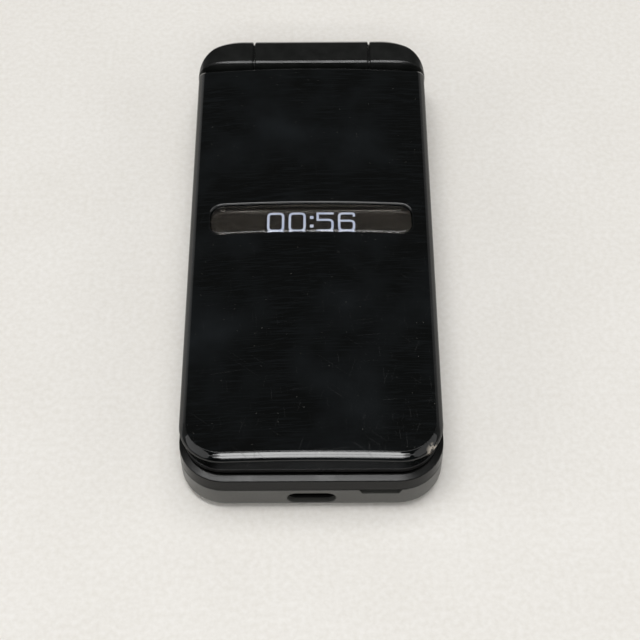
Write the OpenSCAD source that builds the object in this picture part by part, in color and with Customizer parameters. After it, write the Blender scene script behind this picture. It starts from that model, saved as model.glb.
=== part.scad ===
// A clamshell keypad phone, closed, with its lid, keys, hinge and inner pieces as separate solids.
// Millimetres, +Z up, +Y towards the hinge, origin under the middle of the closed phone.
// Heights are a stack from the table up, so each piece rests on the one below it.

/* [Body] */
// Width of the base
body_w = 51.6; // [48:0.1:58]
// Length from the free end to the back of the hinge
body_l = 114; // [110:0.5:124]
// Wall of the upper case and the rear cover
case_wall = 1.2; // [1:0.1:1.5]
// Plan corner radius at the free end
near_corner_r = 9; // [7:0.5:11]
// Plan corner radius at the hinge end
far_corner_r = 7.5; // [5:0.5:8]
// Width of the rim around the key deck
rim_w = 2.2; // [2:0.1:2.8]
// Rounding of the rim's outer edge
rim_r = 0.9; // [0.4:0.1:1.1]

/* [Rear cover] */
// Height of the cover's wall up to the seam
cover_h = 7; // [6.4:0.1:7.2]
// Floor of the cover
cover_floor = 1.2; // [1:0.1:1.6]
// Rounding under the cover's edge
foot_r = 2.4; // [1:0.1:2.6]
// Fingernail slot: width at the seam
nail_w = 8.6; // [5:0.1:12]
// Fingernail slot: distance from the middle
nail_x = 13.4; // [11:0.1:14]
// Fingernail slot: height below the seam
nail_h = 1.5; // [0.8:0.1:1.8]
// Fingernail slot: depth into the wall
nail_d = 0.7; // [0.4:0.1:0.8]
// Length of a loudspeaker slot
grille_l = 7; // [4:0.5:9]
// Width of a loudspeaker slot
grille_w = 0.9; // [0.6:0.1:1.2]
// Loudspeaker slots
grille_count = 5; // [3:1:6]

/* [Base stack] */
// Rubber seal under the chassis
seal_t = 0.2; // [0.15:0.05:0.4]
// Width of the seal
seal_w = 1; // [0.8:0.1:1.2]
// Chassis block
chassis_h = 4; // [3.8:0.1:5]
// Wall of the chassis around the boards
chassis_wall = 0.9; // [0.7:0.1:1.1]
// Main circuit board
board_t = 0.8; // [0.6:0.1:1.2]
// Dome sheet
sheet_t = 0.15; // [0.1:0.05:0.3]
// Height of a contact dome
dome_h = 0.3; // [0.2:0.05:0.4]
// Radius of a contact dome
dome_r = 2; // [1.5:0.1:2.5]
// Rubber key mat
mat_t = 0.8; // [0.6:0.1:1.2]
// Deck that the keys come through
deck_t = 0.7; // [0.6:0.1:1.2]
// Rim above the deck
rim_step = 0.5; // [0.4:0.05:0.8]

/* [Keys] */
// Strip between the key rows and the navigation ring
nav_key_gap = 4.6; // [1:0.1:8]
// Gap between keys
key_gap = 1.4; // [1.2:0.1:2]
// Side gap between keys and the rim
key_margin = 1.6; // [1.4:0.1:2.4]
// Corner radius of a key
key_corner_r = 1.6; // [0.6:0.1:2.4]
// Key top above the deck
key_proud = 0.25; // [0.1:0.05:0.3]
// Flange that keeps a key in
flange_t = 0.5; // [0.4:0.05:0.7]
// Flange reach past the key's side
flange_lip = 0.45; // [0.35:0.05:0.5]
// Room for a key to travel down
key_room = 0.4; // [0.35:0.05:0.6]
// Radius of the navigation ring
nav_r = 10.5; // [9:0.1:11]
// Radius of the centre key
centre_r = 4.1; // [3.4:0.1:4.8]
// Strip between the navigation ring and the hinge
nav_strip = 5.5; // [5:0.1:6.5]

/* [Hinge] */
// Radius of the hinge barrel
hinge_r = 5.1; // [4.8:0.1:5.6]
// Width of the lid's barrel between the knuckles
barrel_w = 26.2; // [24:0.2:28]
// Gap between barrel and knuckle
knuckle_gap = 0.35; // [0.3:0.05:0.6]
// Rounding of a knuckle's outer end
knuckle_end_r = 4.5; // [2:0.5:5]
// Groove between the lid and the barrel
lid_groove = 1.05; // [0.9:0.05:1.6]
// Gap between barrel and base
trough_gap = 0.35; // [0.3:0.05:0.6]
// Wall under the barrel
trough_wall = 0.8; // [0.6:0.1:1]
// Radius of the cam unit's shaft
shaft_r = 1.2; // [1:0.05:1.3]
// Radius of the cam unit
cartridge_r = 3.15; // [3.1:0.05:3.6]
// Wall of the cam unit
cartridge_wall = 0.5; // [0.4:0.05:0.6]
// Radius of the hollow bush
bush_r = 2.5; // [2.3:0.05:2.9]
// Wall of the hollow bush
bush_wall = 0.6; // [0.4:0.05:0.7]
// Turns of the hinge spring
spring_turns = 8; // [5:1:9]
// Wire radius of the hinge spring
spring_wire_r = 0.3; // [0.2:0.02:0.36]

/* [Lid] */
// Gap between the closed lid and the rim
lid_gap = 0.3; // [0.3:0.05:0.6]
// Lid side behind the base's side
lid_inset = 0.35; // [0.1:0.05:0.8]
// Lid edge behind the base's free end
lid_setback = 1.6; // [1:0.1:2]
// Lid corner radius at the free end
lid_corner_r = 8.5; // [7:0.5:10]
// Lid corner radius at the hinge
lid_far_r = 1.5; // [1.2:0.1:2.5]
// Fall of the crowned top at the lid's sides
lid_crown = 1.2; // [0.8:0.1:1.4]
// Rounded edge of the lid's top
lid_edge_r = 1; // [0.6:0.1:1.2]
// Wall of the lid's outer cover
lid_wall = 1; // [0.8:0.1:1.2]
// Inner bezel plate
bezel_t = 1.4; // [1.3:0.1:1.8]
// Border of the bezel around the display glass
bezel_border = 2.4; // [2:0.1:3]
// Main display glass
glass_t = 0.8; // [0.6:0.05:0.85]
// Main display panel
panel_t = 1.6; // [1.4:0.1:2.2]
// Strip for the earpiece beyond the display
ear_strip = 10.5; // [10.5:0.1:13]
// Strip for the hinge web beyond the display
web_strip = 6.6; // [6.6:0.1:9]
// Metal frame
frame_t = 0.8; // [0.6:0.1:1.1]

/* [Sub display] */
// Width of the window
window_w = 42.7; // [36:0.1:43]
// Length of the window
window_l = 8; // [6:0.1:11]
// Corner radius of the window
window_r = 2.8; // [1:0.1:2.9]
// Window centre from the hinge axis
window_from_hinge = 49.5; // [42:0.5:62]
// Window face below the lid's crown
window_sink = 1.1; // [1:0.05:1.4]
// Thickness of the window's face
window_t = 1; // [0.8:0.05:1.2]
// Flange of the window
window_flange_t = 0.7; // [0.5:0.05:0.9]
// Flange reach past the window's side
window_lip = 0.9; // [0.6:0.1:1]
// Sub display panel
sub_panel_t = 0.6; // [0.5:0.05:0.8]

/* [Inner pieces] */
// Battery width
battery_w = 37; // [30:0.5:38]
// Loudspeaker width
speaker_w = 15; // [11:0.5:15]
// Loudspeaker length
speaker_l = 11; // [9:0.5:11]
// Loudspeaker thickness
speaker_t = 3.2; // [2.5:0.1:3.4]
// Vibration motor radius
motor_r = 1.8; // [1.5:0.05:1.85]
// Vibration motor length
motor_l = 8; // [6:0.5:8.5]
// Motor weight length
weight_l = 3.6; // [2.5:0.1:4]
// Shield can height
can_h = 1.6; // [1:0.1:1.8]
// Shield can length
can_l = 13; // [9:0.5:13]
// Charging socket width
socket_w = 8.94; // [8.9:0.02:9]
// Charging socket height
socket_h = 3.26; // [3.2:0.02:3.3]
// Charging socket depth
socket_l = 7.4; // [6.5:0.1:8]
// Charging socket sheet
socket_sheet = 0.3; // [0.2:0.02:0.35]

/* [Fasteners] */
// Radius of a screw's shank
screw_r = 0.7; // [0.5:0.05:0.8]
// Radius of a screw's head
screw_head_r = 1.2; // [1:0.05:1.25]
// Height of a screw's head
screw_head_h = 0.6; // [0.4:0.05:0.65]
// Radius of a screw boss
boss_r = 1.8; // [1.5:0.1:1.9]
// Radius of a rubber bumper
bumper_r = 1.7; // [1.5:0.05:2]

/* [Hidden] */
$fn = 64;
HULL_FN = 40;
EPS = 0.01;
OVER = 1;

// Clearances
FIT = 0.15;
SLIDE_FIT = 0.2;
TIGHT_FIT = 0.03;
RUN_FIT = 0.05;
BOARD_GAP = 0.1;

// Heights of the base, from the table up
chassis_z0 = cover_floor + seal_t;
board_z0 = chassis_z0 + chassis_h;
sheet_z0 = board_z0 + board_t;
mat_z0 = sheet_z0 + sheet_t + dome_h + BOARD_GAP;
mat_z1 = mat_z0 + mat_t;
flange_z0 = mat_z1 + key_room;
deck_z0 = flange_z0 + flange_t + FIT;
deck_z1 = deck_z0 + deck_t;
base_h = deck_z1 + rim_step;
key_top_z = deck_z1 + key_proud;

// Plan of the base
base_y0 = -body_l / 2;
base_y1 = body_l / 2;
deck_w = body_w - 2 * rim_w;
deck_y0 = base_y0 + rim_w;
chassis_inset = case_wall + FIT;
board_inset = chassis_inset + chassis_wall + SLIDE_FIT;

// Hinge axis: the wall under the barrel clears the chassis
TROUGH_SEAT = 0.05;
trough_r = hinge_r + trough_gap;
hinge_y = base_y1 - hinge_r;
hinge_z = board_z0 + TROUGH_SEAT + trough_wall + trough_r;
barrel_x = (barrel_w - knuckle_gap) / 2;
knuckle_x = (barrel_w + knuckle_gap) / 2;
hinge_zone_y = hinge_y - trough_r - trough_wall;
DECK_END_GAP = 1.3;
RING_END_GAP = 0.3;
deck_y1 = hinge_zone_y - DECK_END_GAP;
ring_y1 = hinge_zone_y - RING_END_GAP;
DECK_END_R = 1.5;
RING_END_R = 1.2;
FAR_WALL_DROP = 3.4;

// Lid heights
lid_z0 = base_h + lid_gap;
seam_z = lid_z0 + bezel_t;
frame_z0 = seam_z + panel_t;
frame_z1 = frame_z0 + frame_t;
sub_panel_z1 = frame_z1 + sub_panel_t;
window_z0 = sub_panel_z1 + BOARD_GAP;
window_z1 = window_z0 + window_flange_t;
window_z2 = window_z1 + window_t;
lid_top_z = window_z2 + window_sink;

// Plan of the lid
lid_w = body_w - 2 * lid_inset;
lid_y0 = base_y0 + lid_setback;
lid_y1 = hinge_y - hinge_r - lid_groove;
LIP_T = 0.8;
LIP_H = 1;
LIP_FIT = 0.1;
lip_inset = lid_wall + LIP_FIT;
panel_w = lid_w - 2 * (lip_inset + LIP_T + 2 * FIT);
panel_y0 = lid_y0 + ear_strip;
panel_y1 = lid_y1 - web_strip;
panel_y = (panel_y0 + panel_y1) / 2;
panel_l = panel_y1 - panel_y0;
glass_w = lid_w - 2 * bezel_border;
GLASS_SHORT = 2;
glass_l = panel_l - GLASS_SHORT;
GLASS_SINK = 0.1;
GLASS_LEDGE = 1.2;
GLASS_R = 1.5;
window_y = hinge_y - window_from_hinge;
WELL_WALL = 1.5;
CROWN_STEPS = 24;
EDGE_STEP = 30;
FOOT_STEP = 15;
LEAST_R = 0.3;

// Web between lid and barrel
WEB_SIDE = 0.7;
WEB_ROOT = 2;
web_w = 2 * (barrel_x - WEB_SIDE);
web_z0 = seam_z + BOARD_GAP;
web_y0 = lid_y1 - lip_inset - LIP_T - WEB_ROOT;

// Lid fasteners and bumpers
BUMPER_SEAT = 0.5;
BUMPER_GAP = 0.1;
BUMPER_KEY_GAP = 0.6;
BUMPER_EDGE = 4.7;
LID_SCREW_REACH = 2.6;
lid_screw_x = lid_w / 2 - BUMPER_EDGE;
lid_screw_y = [panel_y0 - boss_r - 2 * FIT, panel_y1 + boss_r + 2 * FIT];

// Earpiece and magnet
EAR_Y = 5.2;
RECEIVER = [12, 5.5, 1.4];
EAR_SLOT = [9, 1.4];
EAR_MESH = [10, 2.4, 0.3];
MAGNET = [5, 2.5, 1.2];
MAGNET_X = 13;
ear_y = lid_y0 + EAR_Y;
LID_BOARD = [38, 18, 0.6];
LID_BOARD_GAP = 3;
LID_CHIP = [7, 6, 0.5];

// Keys
ROW_COUNT = 5;
key_w = (deck_w - 2 * key_margin - 2 * key_gap) / 3;
nav_y = deck_y1 - nav_strip - nav_r;
rows_y0 = lid_screw_y[0] + bumper_r + BUMPER_KEY_GAP;
rows_y1 = nav_y - nav_r - nav_key_gap;
key_l = (rows_y1 - rows_y0 + key_gap) / ROW_COUNT - key_gap;
key_pitch_x = key_w + key_gap;
key_pitch_y = key_l + key_gap;
first_row_y = rows_y0 + key_l / 2;
soft_w = deck_w / 2 - key_margin - nav_r - key_gap;
soft_l = (2 * nav_r - key_gap) / 2;
soft_x = nav_r + key_gap + soft_w / 2;
soft_y = (soft_l + key_gap) / 2;
KEY_ROWS = [
    ["key_star", "key_0", "key_hash"],
    ["key_7", "key_8", "key_9"],
    ["key_4", "key_5", "key_6"],
    ["key_1", "key_2", "key_3"],
    ["call_key", "clear_key", "end_key"],
];
SOFT_KEYS = ["soft_key_a", "soft_key_b", "soft_key_c", "soft_key_d"];
function key_x(column) = (column - 1) * key_pitch_x;
function key_y(row) = first_row_y + row * key_pitch_y;
function soft_place(i) = [(i % 2 == 0 ? -1 : 1) * soft_x, nav_y + (i < 2 ? 1 : -1) * soft_y];

// Navigation ring: the ring and its pad tilt, so they keep clear of their neighbours
NAV_TILT_ROOM = 0.5;
NAV_FLANGE_T = 0.4;
NAV_PAD_GAP = 0.3;
NAV_PAD_T = 0.4;
NAV_PAD_R = 6;
NAV_MAT_GAP = 0.4;
CENTRE_GAP = 0.3;
nav_hole_r = centre_r + CENTRE_GAP;
nav_flange_z1 = deck_z0 - NAV_TILT_ROOM;
nav_flange_z0 = nav_flange_z1 - NAV_FLANGE_T;
nav_pad_z1 = nav_flange_z0 - NAV_PAD_GAP;
nav_pad_z0 = nav_pad_z1 - NAV_PAD_T;
nav_mat_r = nav_r + flange_lip + NAV_MAT_GAP;
NAV_DOME_AT = 7.5;
NAV_DOME_R = 1.5;

// Base fasteners
NEAR_SCREW_EDGE = 8.5;
NEAR_SCREW_Y = 6.8;
FAR_SCREW_EDGE = 5.5;
FAR_SCREW_Y = 3.4;
near_screw_x = body_w / 2 - NEAR_SCREW_EDGE;
far_screw_x = body_w / 2 - FAR_SCREW_EDGE;
base_screws_at = [
    [-near_screw_x, base_y0 + NEAR_SCREW_Y],
    [near_screw_x, base_y0 + NEAR_SCREW_Y],
    [-far_screw_x, ring_y1 - FAR_SCREW_Y],
    [far_screw_x, ring_y1 - FAR_SCREW_Y],
];
SCREW_BITE = 2.4;

// Charging socket, a standard one, under the board
socket_y0 = base_y0 + case_wall + FIT;
socket_z = board_z0 - socket_h / 2 - TIGHT_FIT;
SOCKET_MOUTH_GAP = 0.25;
SOCKET_TONGUE = [6.7, 0.7];
SOCKET_TONGUE_BACK = 1.2;
SOCKET_BACK = 1;

// Loudspeaker, shield can, contacts and battery, from the hinge to the socket
SPEAKER_X = -9.5;
SPEAKER_END = 5.5;
SPEAKER_CAN_GAP = 3.2;
CAN_SIDE = 2.5;
CAN_GAP = 1.6;
CONTACT = [1, 1.3, 2.6];
CONTACT_PITCH = 4;
CONTACT_COUNT = 3;
SOCKET_BATTERY_GAP = 4;
BATTERY_ROOM = 0.25;
speaker_y = ring_y1 - SPEAKER_END - speaker_l / 2;
can_w = battery_w - 2 * CAN_SIDE;
can_y = speaker_y - speaker_l / 2 - SPEAKER_CAN_GAP - can_l / 2;
battery_y0 = socket_y0 + socket_l + SOCKET_BATTERY_GAP;
battery_y1 = can_y - can_l / 2 - CAN_GAP - CONTACT[1];
battery_l = battery_y1 - battery_y0;
battery_t = chassis_h - BATTERY_ROOM;

// Vibration motor beside the loudspeaker
MOTOR_X0 = 3.6;
MOTOR_PIN_R = 0.4;
WEIGHT_GAP = 0.3;
motor_y = speaker_y;
motor_z = chassis_z0 + chassis_h / 2;
motor_x1 = MOTOR_X0 + motor_l;
weight_x0 = motor_x1 + WEIGHT_GAP;
weight_x1 = weight_x0 + weight_l;
weight_r = motor_r - BOARD_GAP;
ANTENNA = [34, 6, 0.25];
MESH_T = 0.12;
MIC = [3.6, 2.6, 1];
MIC_X = -8;
MIC_HOLE_R = 0.5;
mic_y = base_y0 + NEAR_SCREW_Y;

// Cam unit, bush and flex inside the barrel
CARTRIDGE_L = 16;
HEAD_R = 2;
HEAD_L = 6;
BUSH_GRIP = 6;
BUSH_RUN = 5;
BORE_STEP = 1.4;
FLEX_R = 1.6;
FLEX_T = 0.25;
SPRING_SIDES = 6;
SPRING_RINGS = 8;
cartridge_x1 = barrel_x - SLIDE_FIT;
cartridge_x0 = cartridge_x1 - CARTRIDGE_L;
spring_r = (shaft_r + cartridge_r - cartridge_wall) / 2;
spring_x0 = cartridge_x0 + 2 * cartridge_wall + spring_wire_r + FIT;
spring_x1 = cartridge_x1 - 2 * cartridge_wall - spring_wire_r - FIT;
bush_x0 = -knuckle_x - BUSH_GRIP;
bush_x1 = -barrel_x + BUSH_RUN;

// Colours
GLOSS_BLACK = [0.06, 0.07, 0.07];
SATIN_BLACK = [0.13, 0.13, 0.13];
SATIN_GREY = [0.24, 0.24, 0.23];
DARK_PLASTIC = [0.14, 0.14, 0.14];
STEEL = [0.7, 0.7, 0.7];
BOARD_GREEN = [0.1, 0.32, 0.2];
RUBBER = [0.2, 0.2, 0.2];
KEY_GREY = [0.24, 0.24, 0.24];
SMOKED = [0.12, 0.12, 0.13];
COPPER = [0.75, 0.5, 0.3];

// Outline with its own corner radius at each end
module plan(w, y0, y1, near_r, far_r) {
    translate([-w / 2, y0 + near_r])
        square([w, y1 - y0 - near_r - far_r]);
    translate([-w / 2 + near_r, y0])
        square([w - 2 * near_r, near_r]);
    translate([-w / 2 + far_r, y1 - far_r])
        square([w - 2 * far_r, far_r]);
    for (side = [-1, 1]) {
        translate([side * (w / 2 - near_r), y0 + near_r])
            circle(r = near_r);
        translate([side * (w / 2 - far_r), y1 - far_r])
            circle(r = far_r);
    }
}

module base_prism(inset, z0, z1, y1 = base_y1, far_r = far_corner_r) {
    translate([0, 0, z0])
        linear_extrude(z1 - z0)
            plan(body_w - 2 * inset, base_y0 + inset, y1 - inset, near_corner_r - inset, far_r - inset);
}

// The space inside the base's walls, closed off before the hinge
module inner_prism(inset, z0, z1) {
    translate([0, 0, z0])
        linear_extrude(z1 - z0)
            plan(body_w - 2 * inset, base_y0 + inset, ring_y1 + chassis_inset - inset,
                near_corner_r - inset, RING_END_R);
}

module lid_prism(inset, z0, z1) {
    far_r = max(lid_far_r - inset, LEAST_R);
    translate([0, 0, z0])
        linear_extrude(z1 - z0)
            plan(lid_w - 2 * inset, lid_y0 + inset, lid_y1 - inset, lid_corner_r - inset, far_r);
}

module block(size, x, y, z0) {
    translate([x - size[0] / 2, y - size[1] / 2, z0])
        cube(size);
}

module pad(w, l, r, z0, z1, x, y) {
    translate([x, y, z0])
        linear_extrude(z1 - z0)
            plan(w, -l / 2, l / 2, r, r);
}

module post(r, z0, z1, at) {
    translate([at[0], at[1], z0])
        cylinder(r = r, h = z1 - z0);
}

// Cylinder along X
module axle(r, x0, x1, y, z) {
    translate([x0, y, z])
        rotate([0, 90, 0])
            cylinder(r = r, h = x1 - x0);
}

module hinge_axle(r, x0, x1) {
    axle(r, x0, x1, hinge_y, hinge_z);
}

// Lid forms
function crown_z(x) = lid_top_z - lid_crown * pow(2 * x / lid_w, 2);

module crown_bar(drop, z0) {
    reach = lid_w / 2 + OVER;
    arch = [
        for (i = [0:CROWN_STEPS])
            let (x = reach * (2 * i / CROWN_STEPS - 1))
            [x, crown_z(x) - drop]
    ];
    rotate([90, 0, 0])
        linear_extrude(2 * body_l, center = true)
            polygon(concat(arch, [[reach, z0], [-reach, z0]]));
}

module lid_form(inset, z0) {
    hull()
        for (turn = [0:EDGE_STEP:90])
            intersection() {
                crown_bar(inset + lid_edge_r * (1 - sin(turn)), z0);
                lid_prism(inset + lid_edge_r * (1 - cos(turn)), z0, lid_top_z + OVER, $fn = HULL_FN);
            }
}

module at_lid_screws() {
    for (side = [-1, 1], y = lid_screw_y)
        translate([side * lid_screw_x, y, 0])
            children();
}

module window_pad(grow, z0, z1) {
    pad(window_w + 2 * grow, window_l + 2 * grow, window_r + grow, z0, z1, 0, window_y);
}

// Opening in the lid's rear wall for the web
module web_notch() {
    block([web_w + 2 * SLIDE_FIT, 2 * (lid_y1 - web_y0), frame_z1 + SLIDE_FIT - seam_z + OVER],
        0, lid_y1, seam_z - OVER);
}

module lid_outer_cover() {
    color(GLOSS_BLACK)
        difference() {
            lid_form(0, seam_z);
            difference() {
                lid_form(lid_wall, seam_z - OVER);
                window_pad(WELL_WALL, window_z1, lid_top_z);
                at_lid_screws()
                    post(boss_r, seam_z, lid_top_z, [0, 0]);
            }
            window_pad(0, window_z0, lid_top_z + OVER);
            window_pad(window_lip + FIT, seam_z, window_z1);
            at_lid_screws()
                post(screw_r + TIGHT_FIT, seam_z - OVER, seam_z + LID_SCREW_REACH + FIT, [0, 0]);
            intersection() {
                web_notch();
                block([body_w, 2 * (lid_y1 - web_y0) - 2 * EPS, lid_top_z], 0, lid_y1, seam_z - OVER);
            }
        }
}

module sub_display_window() {
    color(SMOKED)
        union() {
            window_pad(-BOARD_GAP, window_z1 - EPS, window_z2);
            window_pad(window_lip, window_z0, window_z1);
        }
}

module sub_display_panel() {
    color(DARK_PLASTIC)
        block([window_w - 2 * FIT, window_l, sub_panel_t], 0, window_y, frame_z1);
}

module lid_frame() {
    color(STEEL)
        difference() {
            union() {
                lid_prism(lid_wall + SLIDE_FIT, frame_z0, frame_z1);
                block([web_w, hinge_y - web_y0, frame_z1 - web_z0], 0, (hinge_y + web_y0) / 2, web_z0);
                hinge_axle(hinge_r, -barrel_x, barrel_x);
            }
            hinge_axle(cartridge_r + TIGHT_FIT, cartridge_x0, barrel_x + OVER);
            hinge_axle(FLEX_R + SLIDE_FIT, -barrel_x - OVER, cartridge_x0 + OVER);
            hinge_axle(bush_r + RUN_FIT, -barrel_x - OVER, bush_x1 + SLIDE_FIT);
            at_lid_screws()
                post(boss_r + SLIDE_FIT, frame_z0 - OVER, frame_z1 + OVER, [0, 0]);
        }
}

module lid_inner_bezel() {
    ledge_z = lid_z0 + GLASS_SINK + glass_t;
    color(DARK_PLASTIC)
        difference() {
            union() {
                lid_prism(0, lid_z0, seam_z);
                difference() {
                    lid_prism(lip_inset, seam_z - EPS, seam_z + LIP_H);
                    lid_prism(lip_inset + LIP_T, seam_z - OVER, seam_z + LIP_H + OVER);
                    translate([0, 0, BOARD_GAP + OVER])
                        web_notch();
                }
            }
            pad(glass_w + 2 * LIP_FIT, glass_l + 2 * LIP_FIT, GLASS_R, lid_z0 - OVER, ledge_z, 0, panel_y);
            pad(glass_w - 2 * GLASS_LEDGE, glass_l - 2 * GLASS_LEDGE, GLASS_R,
                lid_z0, seam_z + OVER, 0, panel_y);
            pad(EAR_SLOT[0], EAR_SLOT[1], EAR_SLOT[1] / 2 - EPS, lid_z0 - OVER, seam_z + OVER, 0, ear_y);
            pad(EAR_MESH[0], EAR_MESH[1], EAR_MESH[1] / 2 - EPS,
                lid_z0 - OVER, lid_z0 + EAR_MESH[2], 0, ear_y);
            at_lid_screws() {
                post(bumper_r + TIGHT_FIT, lid_z0 - OVER, lid_z0 + BUMPER_SEAT, [0, 0]);
                post(screw_head_r + RUN_FIT, lid_z0, lid_z0 + BUMPER_SEAT + screw_head_h, [0, 0]);
                post(screw_r + RUN_FIT, lid_z0, seam_z + OVER, [0, 0]);
            }
        }
}

module main_display_glass() {
    color(SMOKED)
        pad(glass_w, glass_l, GLASS_R, lid_z0 + GLASS_SINK, lid_z0 + GLASS_SINK + glass_t, 0, panel_y);
}

module main_display_panel() {
    color(DARK_PLASTIC)
        block([panel_w, panel_l, panel_t], 0, panel_y, seam_z);
}

module earpiece_receiver() {
    color(DARK_PLASTIC)
        block(RECEIVER, 0, ear_y, seam_z);
}

module earpiece_mesh() {
    color(STEEL)
        pad(EAR_MESH[0] - 2 * LIP_FIT, EAR_MESH[1] - 2 * LIP_FIT, EAR_MESH[1] / 2 - LIP_FIT - EPS,
            lid_z0 + RUN_FIT, lid_z0 + EAR_MESH[2], 0, ear_y);
}

module lid_bumpers() {
    color(RUBBER)
        at_lid_screws()
            post(bumper_r, deck_z1 + BUMPER_GAP, lid_z0 + BUMPER_SEAT, [0, 0]);
}

module lid_magnet() {
    color(STEEL)
        block(MAGNET, MAGNET_X, ear_y, seam_z);
}

module lid_circuit_board() {
    board_y = window_y - window_l / 2 - window_lip - LID_BOARD_GAP - LID_BOARD[1] / 2;
    color(BOARD_GREEN)
        union() {
            block(LID_BOARD, 0, board_y, frame_z1);
            for (side = [-1, 1])
                block(LID_CHIP, side * LID_CHIP[0], board_y, frame_z1 + LID_BOARD[2] - EPS);
        }
}

module lid_screws() {
    head_z = lid_z0 + BUMPER_SEAT;
    color(STEEL)
        at_lid_screws()
            union() {
                post(screw_head_r, head_z, head_z + screw_head_h, [0, 0]);
                post(screw_r, head_z + screw_head_h - EPS, seam_z + LID_SCREW_REACH, [0, 0]);
            }
}

// Hinge pieces
module hinge_cartridge() {
    color(STEEL)
        difference() {
            hinge_axle(cartridge_r, cartridge_x0, cartridge_x1);
            hinge_axle(cartridge_r - cartridge_wall, cartridge_x0 + 2 * cartridge_wall,
                cartridge_x1 - 2 * cartridge_wall);
            hinge_axle(shaft_r + RUN_FIT, cartridge_x0 - OVER, cartridge_x1 + OVER);
        }
}

module hinge_shaft() {
    color(STEEL)
        union() {
            hinge_axle(shaft_r, cartridge_x0 + SLIDE_FIT, knuckle_x + SLIDE_FIT);
            hinge_axle(HEAD_R, knuckle_x + RUN_FIT, knuckle_x + HEAD_L);
        }
}

module hinge_spring() {
    rings = spring_turns * SPRING_RINGS;
    points = [
        for (i = [0:rings], j = [0:SPRING_SIDES - 1])
            let (around = 360 * i / SPRING_RINGS)
            let (side = 360 * j / SPRING_SIDES)
            let (r = spring_r + spring_wire_r * cos(side))
            [
                spring_x0 + (spring_x1 - spring_x0) * i / rings + spring_wire_r * sin(side),
                hinge_y + r * cos(around),
                hinge_z + r * sin(around),
            ]
    ];
    walls = [
        for (i = [0:rings - 1], j = [0:SPRING_SIDES - 1], half = [0, 1])
            let (a = i * SPRING_SIDES + j)
            let (b = i * SPRING_SIDES + (j + 1) % SPRING_SIDES)
            half == 0 ? [a, a + SPRING_SIDES, b] : [b, a + SPRING_SIDES, b + SPRING_SIDES]
    ];
    last = rings * SPRING_SIDES;
    first_cap = [for (j = [1:SPRING_SIDES - 2]) [0, j, j + 1]];
    last_cap = [for (j = [1:SPRING_SIDES - 2]) [last, last + j + 1, last + j]];
    color(STEEL)
        polyhedron(points = points, faces = concat(walls, first_cap, last_cap));
}

module hinge_bush() {
    color(STEEL)
        difference() {
            hinge_axle(bush_r, bush_x0, bush_x1);
            hinge_axle(bush_r - bush_wall, bush_x0 - OVER, bush_x1 + OVER);
        }
}

module hinge_flex() {
    flex_x0 = bush_x0 + BORE_STEP;
    flex_x1 = cartridge_x0 - FIT;
    color(COPPER)
        difference() {
            hinge_axle(FLEX_R, flex_x0, flex_x1);
            hinge_axle(FLEX_R - FLEX_T, flex_x0 - OVER, flex_x1 + OVER);
        }
}

// Upper case
module upper_shell() {
    difference() {
        hull() {
            base_prism(0, cover_h, cover_h + EPS, $fn = HULL_FN);
            for (turn = [0:EDGE_STEP:90])
                translate([0, 0, -EPS])
                    base_prism(rim_r * (1 - cos(turn)), base_h - rim_r * (1 - sin(turn)),
                        base_h - rim_r * (1 - sin(turn)) + EPS, $fn = HULL_FN);
        }
        base_prism(case_wall, cover_h - OVER, deck_z0);
        translate([0, 0, deck_z1])
            linear_extrude(base_h)
                plan(deck_w, deck_y0, deck_y1, near_corner_r - rim_w, DECK_END_R);
    }
}

module knuckles() {
    intersection() {
        base_prism(0, cover_h, lid_top_z);
        translate([0, base_y1 + OVER, 0])
            rotate([90, 0, 0])
                linear_extrude(2 * hinge_r + 2 * OVER)
                    plan(body_w + 2 * EPS, 0, hinge_z + hinge_r + FIT, LEAST_R, knuckle_end_r);
        for (side = [-1, 1])
            translate([side < 0 ? -body_w : knuckle_x, 0, 0])
                union() {
                    hinge_axle(hinge_r, 0, body_w - knuckle_x);
                    translate([0, hinge_y - hinge_r, cover_h])
                        cube([body_w - knuckle_x, 2 * hinge_r, hinge_z - cover_h]);
                }
    }
}

// Wall that closes the base under the barrel
module trough() {
    intersection() {
        hinge_axle(trough_r + trough_wall, -knuckle_x - EPS, knuckle_x + EPS);
        union() {
            base_prism(chassis_inset, 0, deck_z1);
            base_prism(0, cover_h, deck_z1);
        }
    }
}

module deck_openings() {
    for (row = [0:ROW_COUNT - 1], column = [0:2])
        pad(key_w + 2 * SLIDE_FIT, key_l + 2 * SLIDE_FIT, key_corner_r + SLIDE_FIT,
            deck_z0 - EPS, base_h, key_x(column), key_y(row));
    for (i = [0:len(SOFT_KEYS) - 1])
        pad(soft_w + 2 * SLIDE_FIT, soft_l + 2 * SLIDE_FIT, key_corner_r + SLIDE_FIT,
            deck_z0 - EPS, base_h, soft_place(i)[0], soft_place(i)[1]);
    post(nav_r + SLIDE_FIT, deck_z0 - EPS, base_h, [0, nav_y]);
    post(MIC_HOLE_R, deck_z0 - EPS, base_h, [MIC_X, mic_y]);
}

module base_upper_case() {
    color(SATIN_BLACK)
        difference() {
            union() {
                upper_shell();
                knuckles();
                trough();
                for (at = base_screws_at)
                    post(boss_r, board_z0, deck_z0 + EPS, at);
            }
            hinge_axle(trough_r, -knuckle_x, knuckle_x);
            translate([-knuckle_x, hinge_y, hinge_z - FAR_WALL_DROP])
                cube([2 * knuckle_x, body_l, body_l]);
            hinge_axle(HEAD_R + TIGHT_FIT, knuckle_x - OVER, knuckle_x + HEAD_L + FIT);
            hinge_axle(bush_r + TIGHT_FIT, bush_x0 - FIT, -knuckle_x + OVER);
            deck_openings();
            for (at = base_screws_at)
                post(screw_r + TIGHT_FIT, board_z0 - OVER, board_z0 + SCREW_BITE + FIT, at);
        }
}

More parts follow.
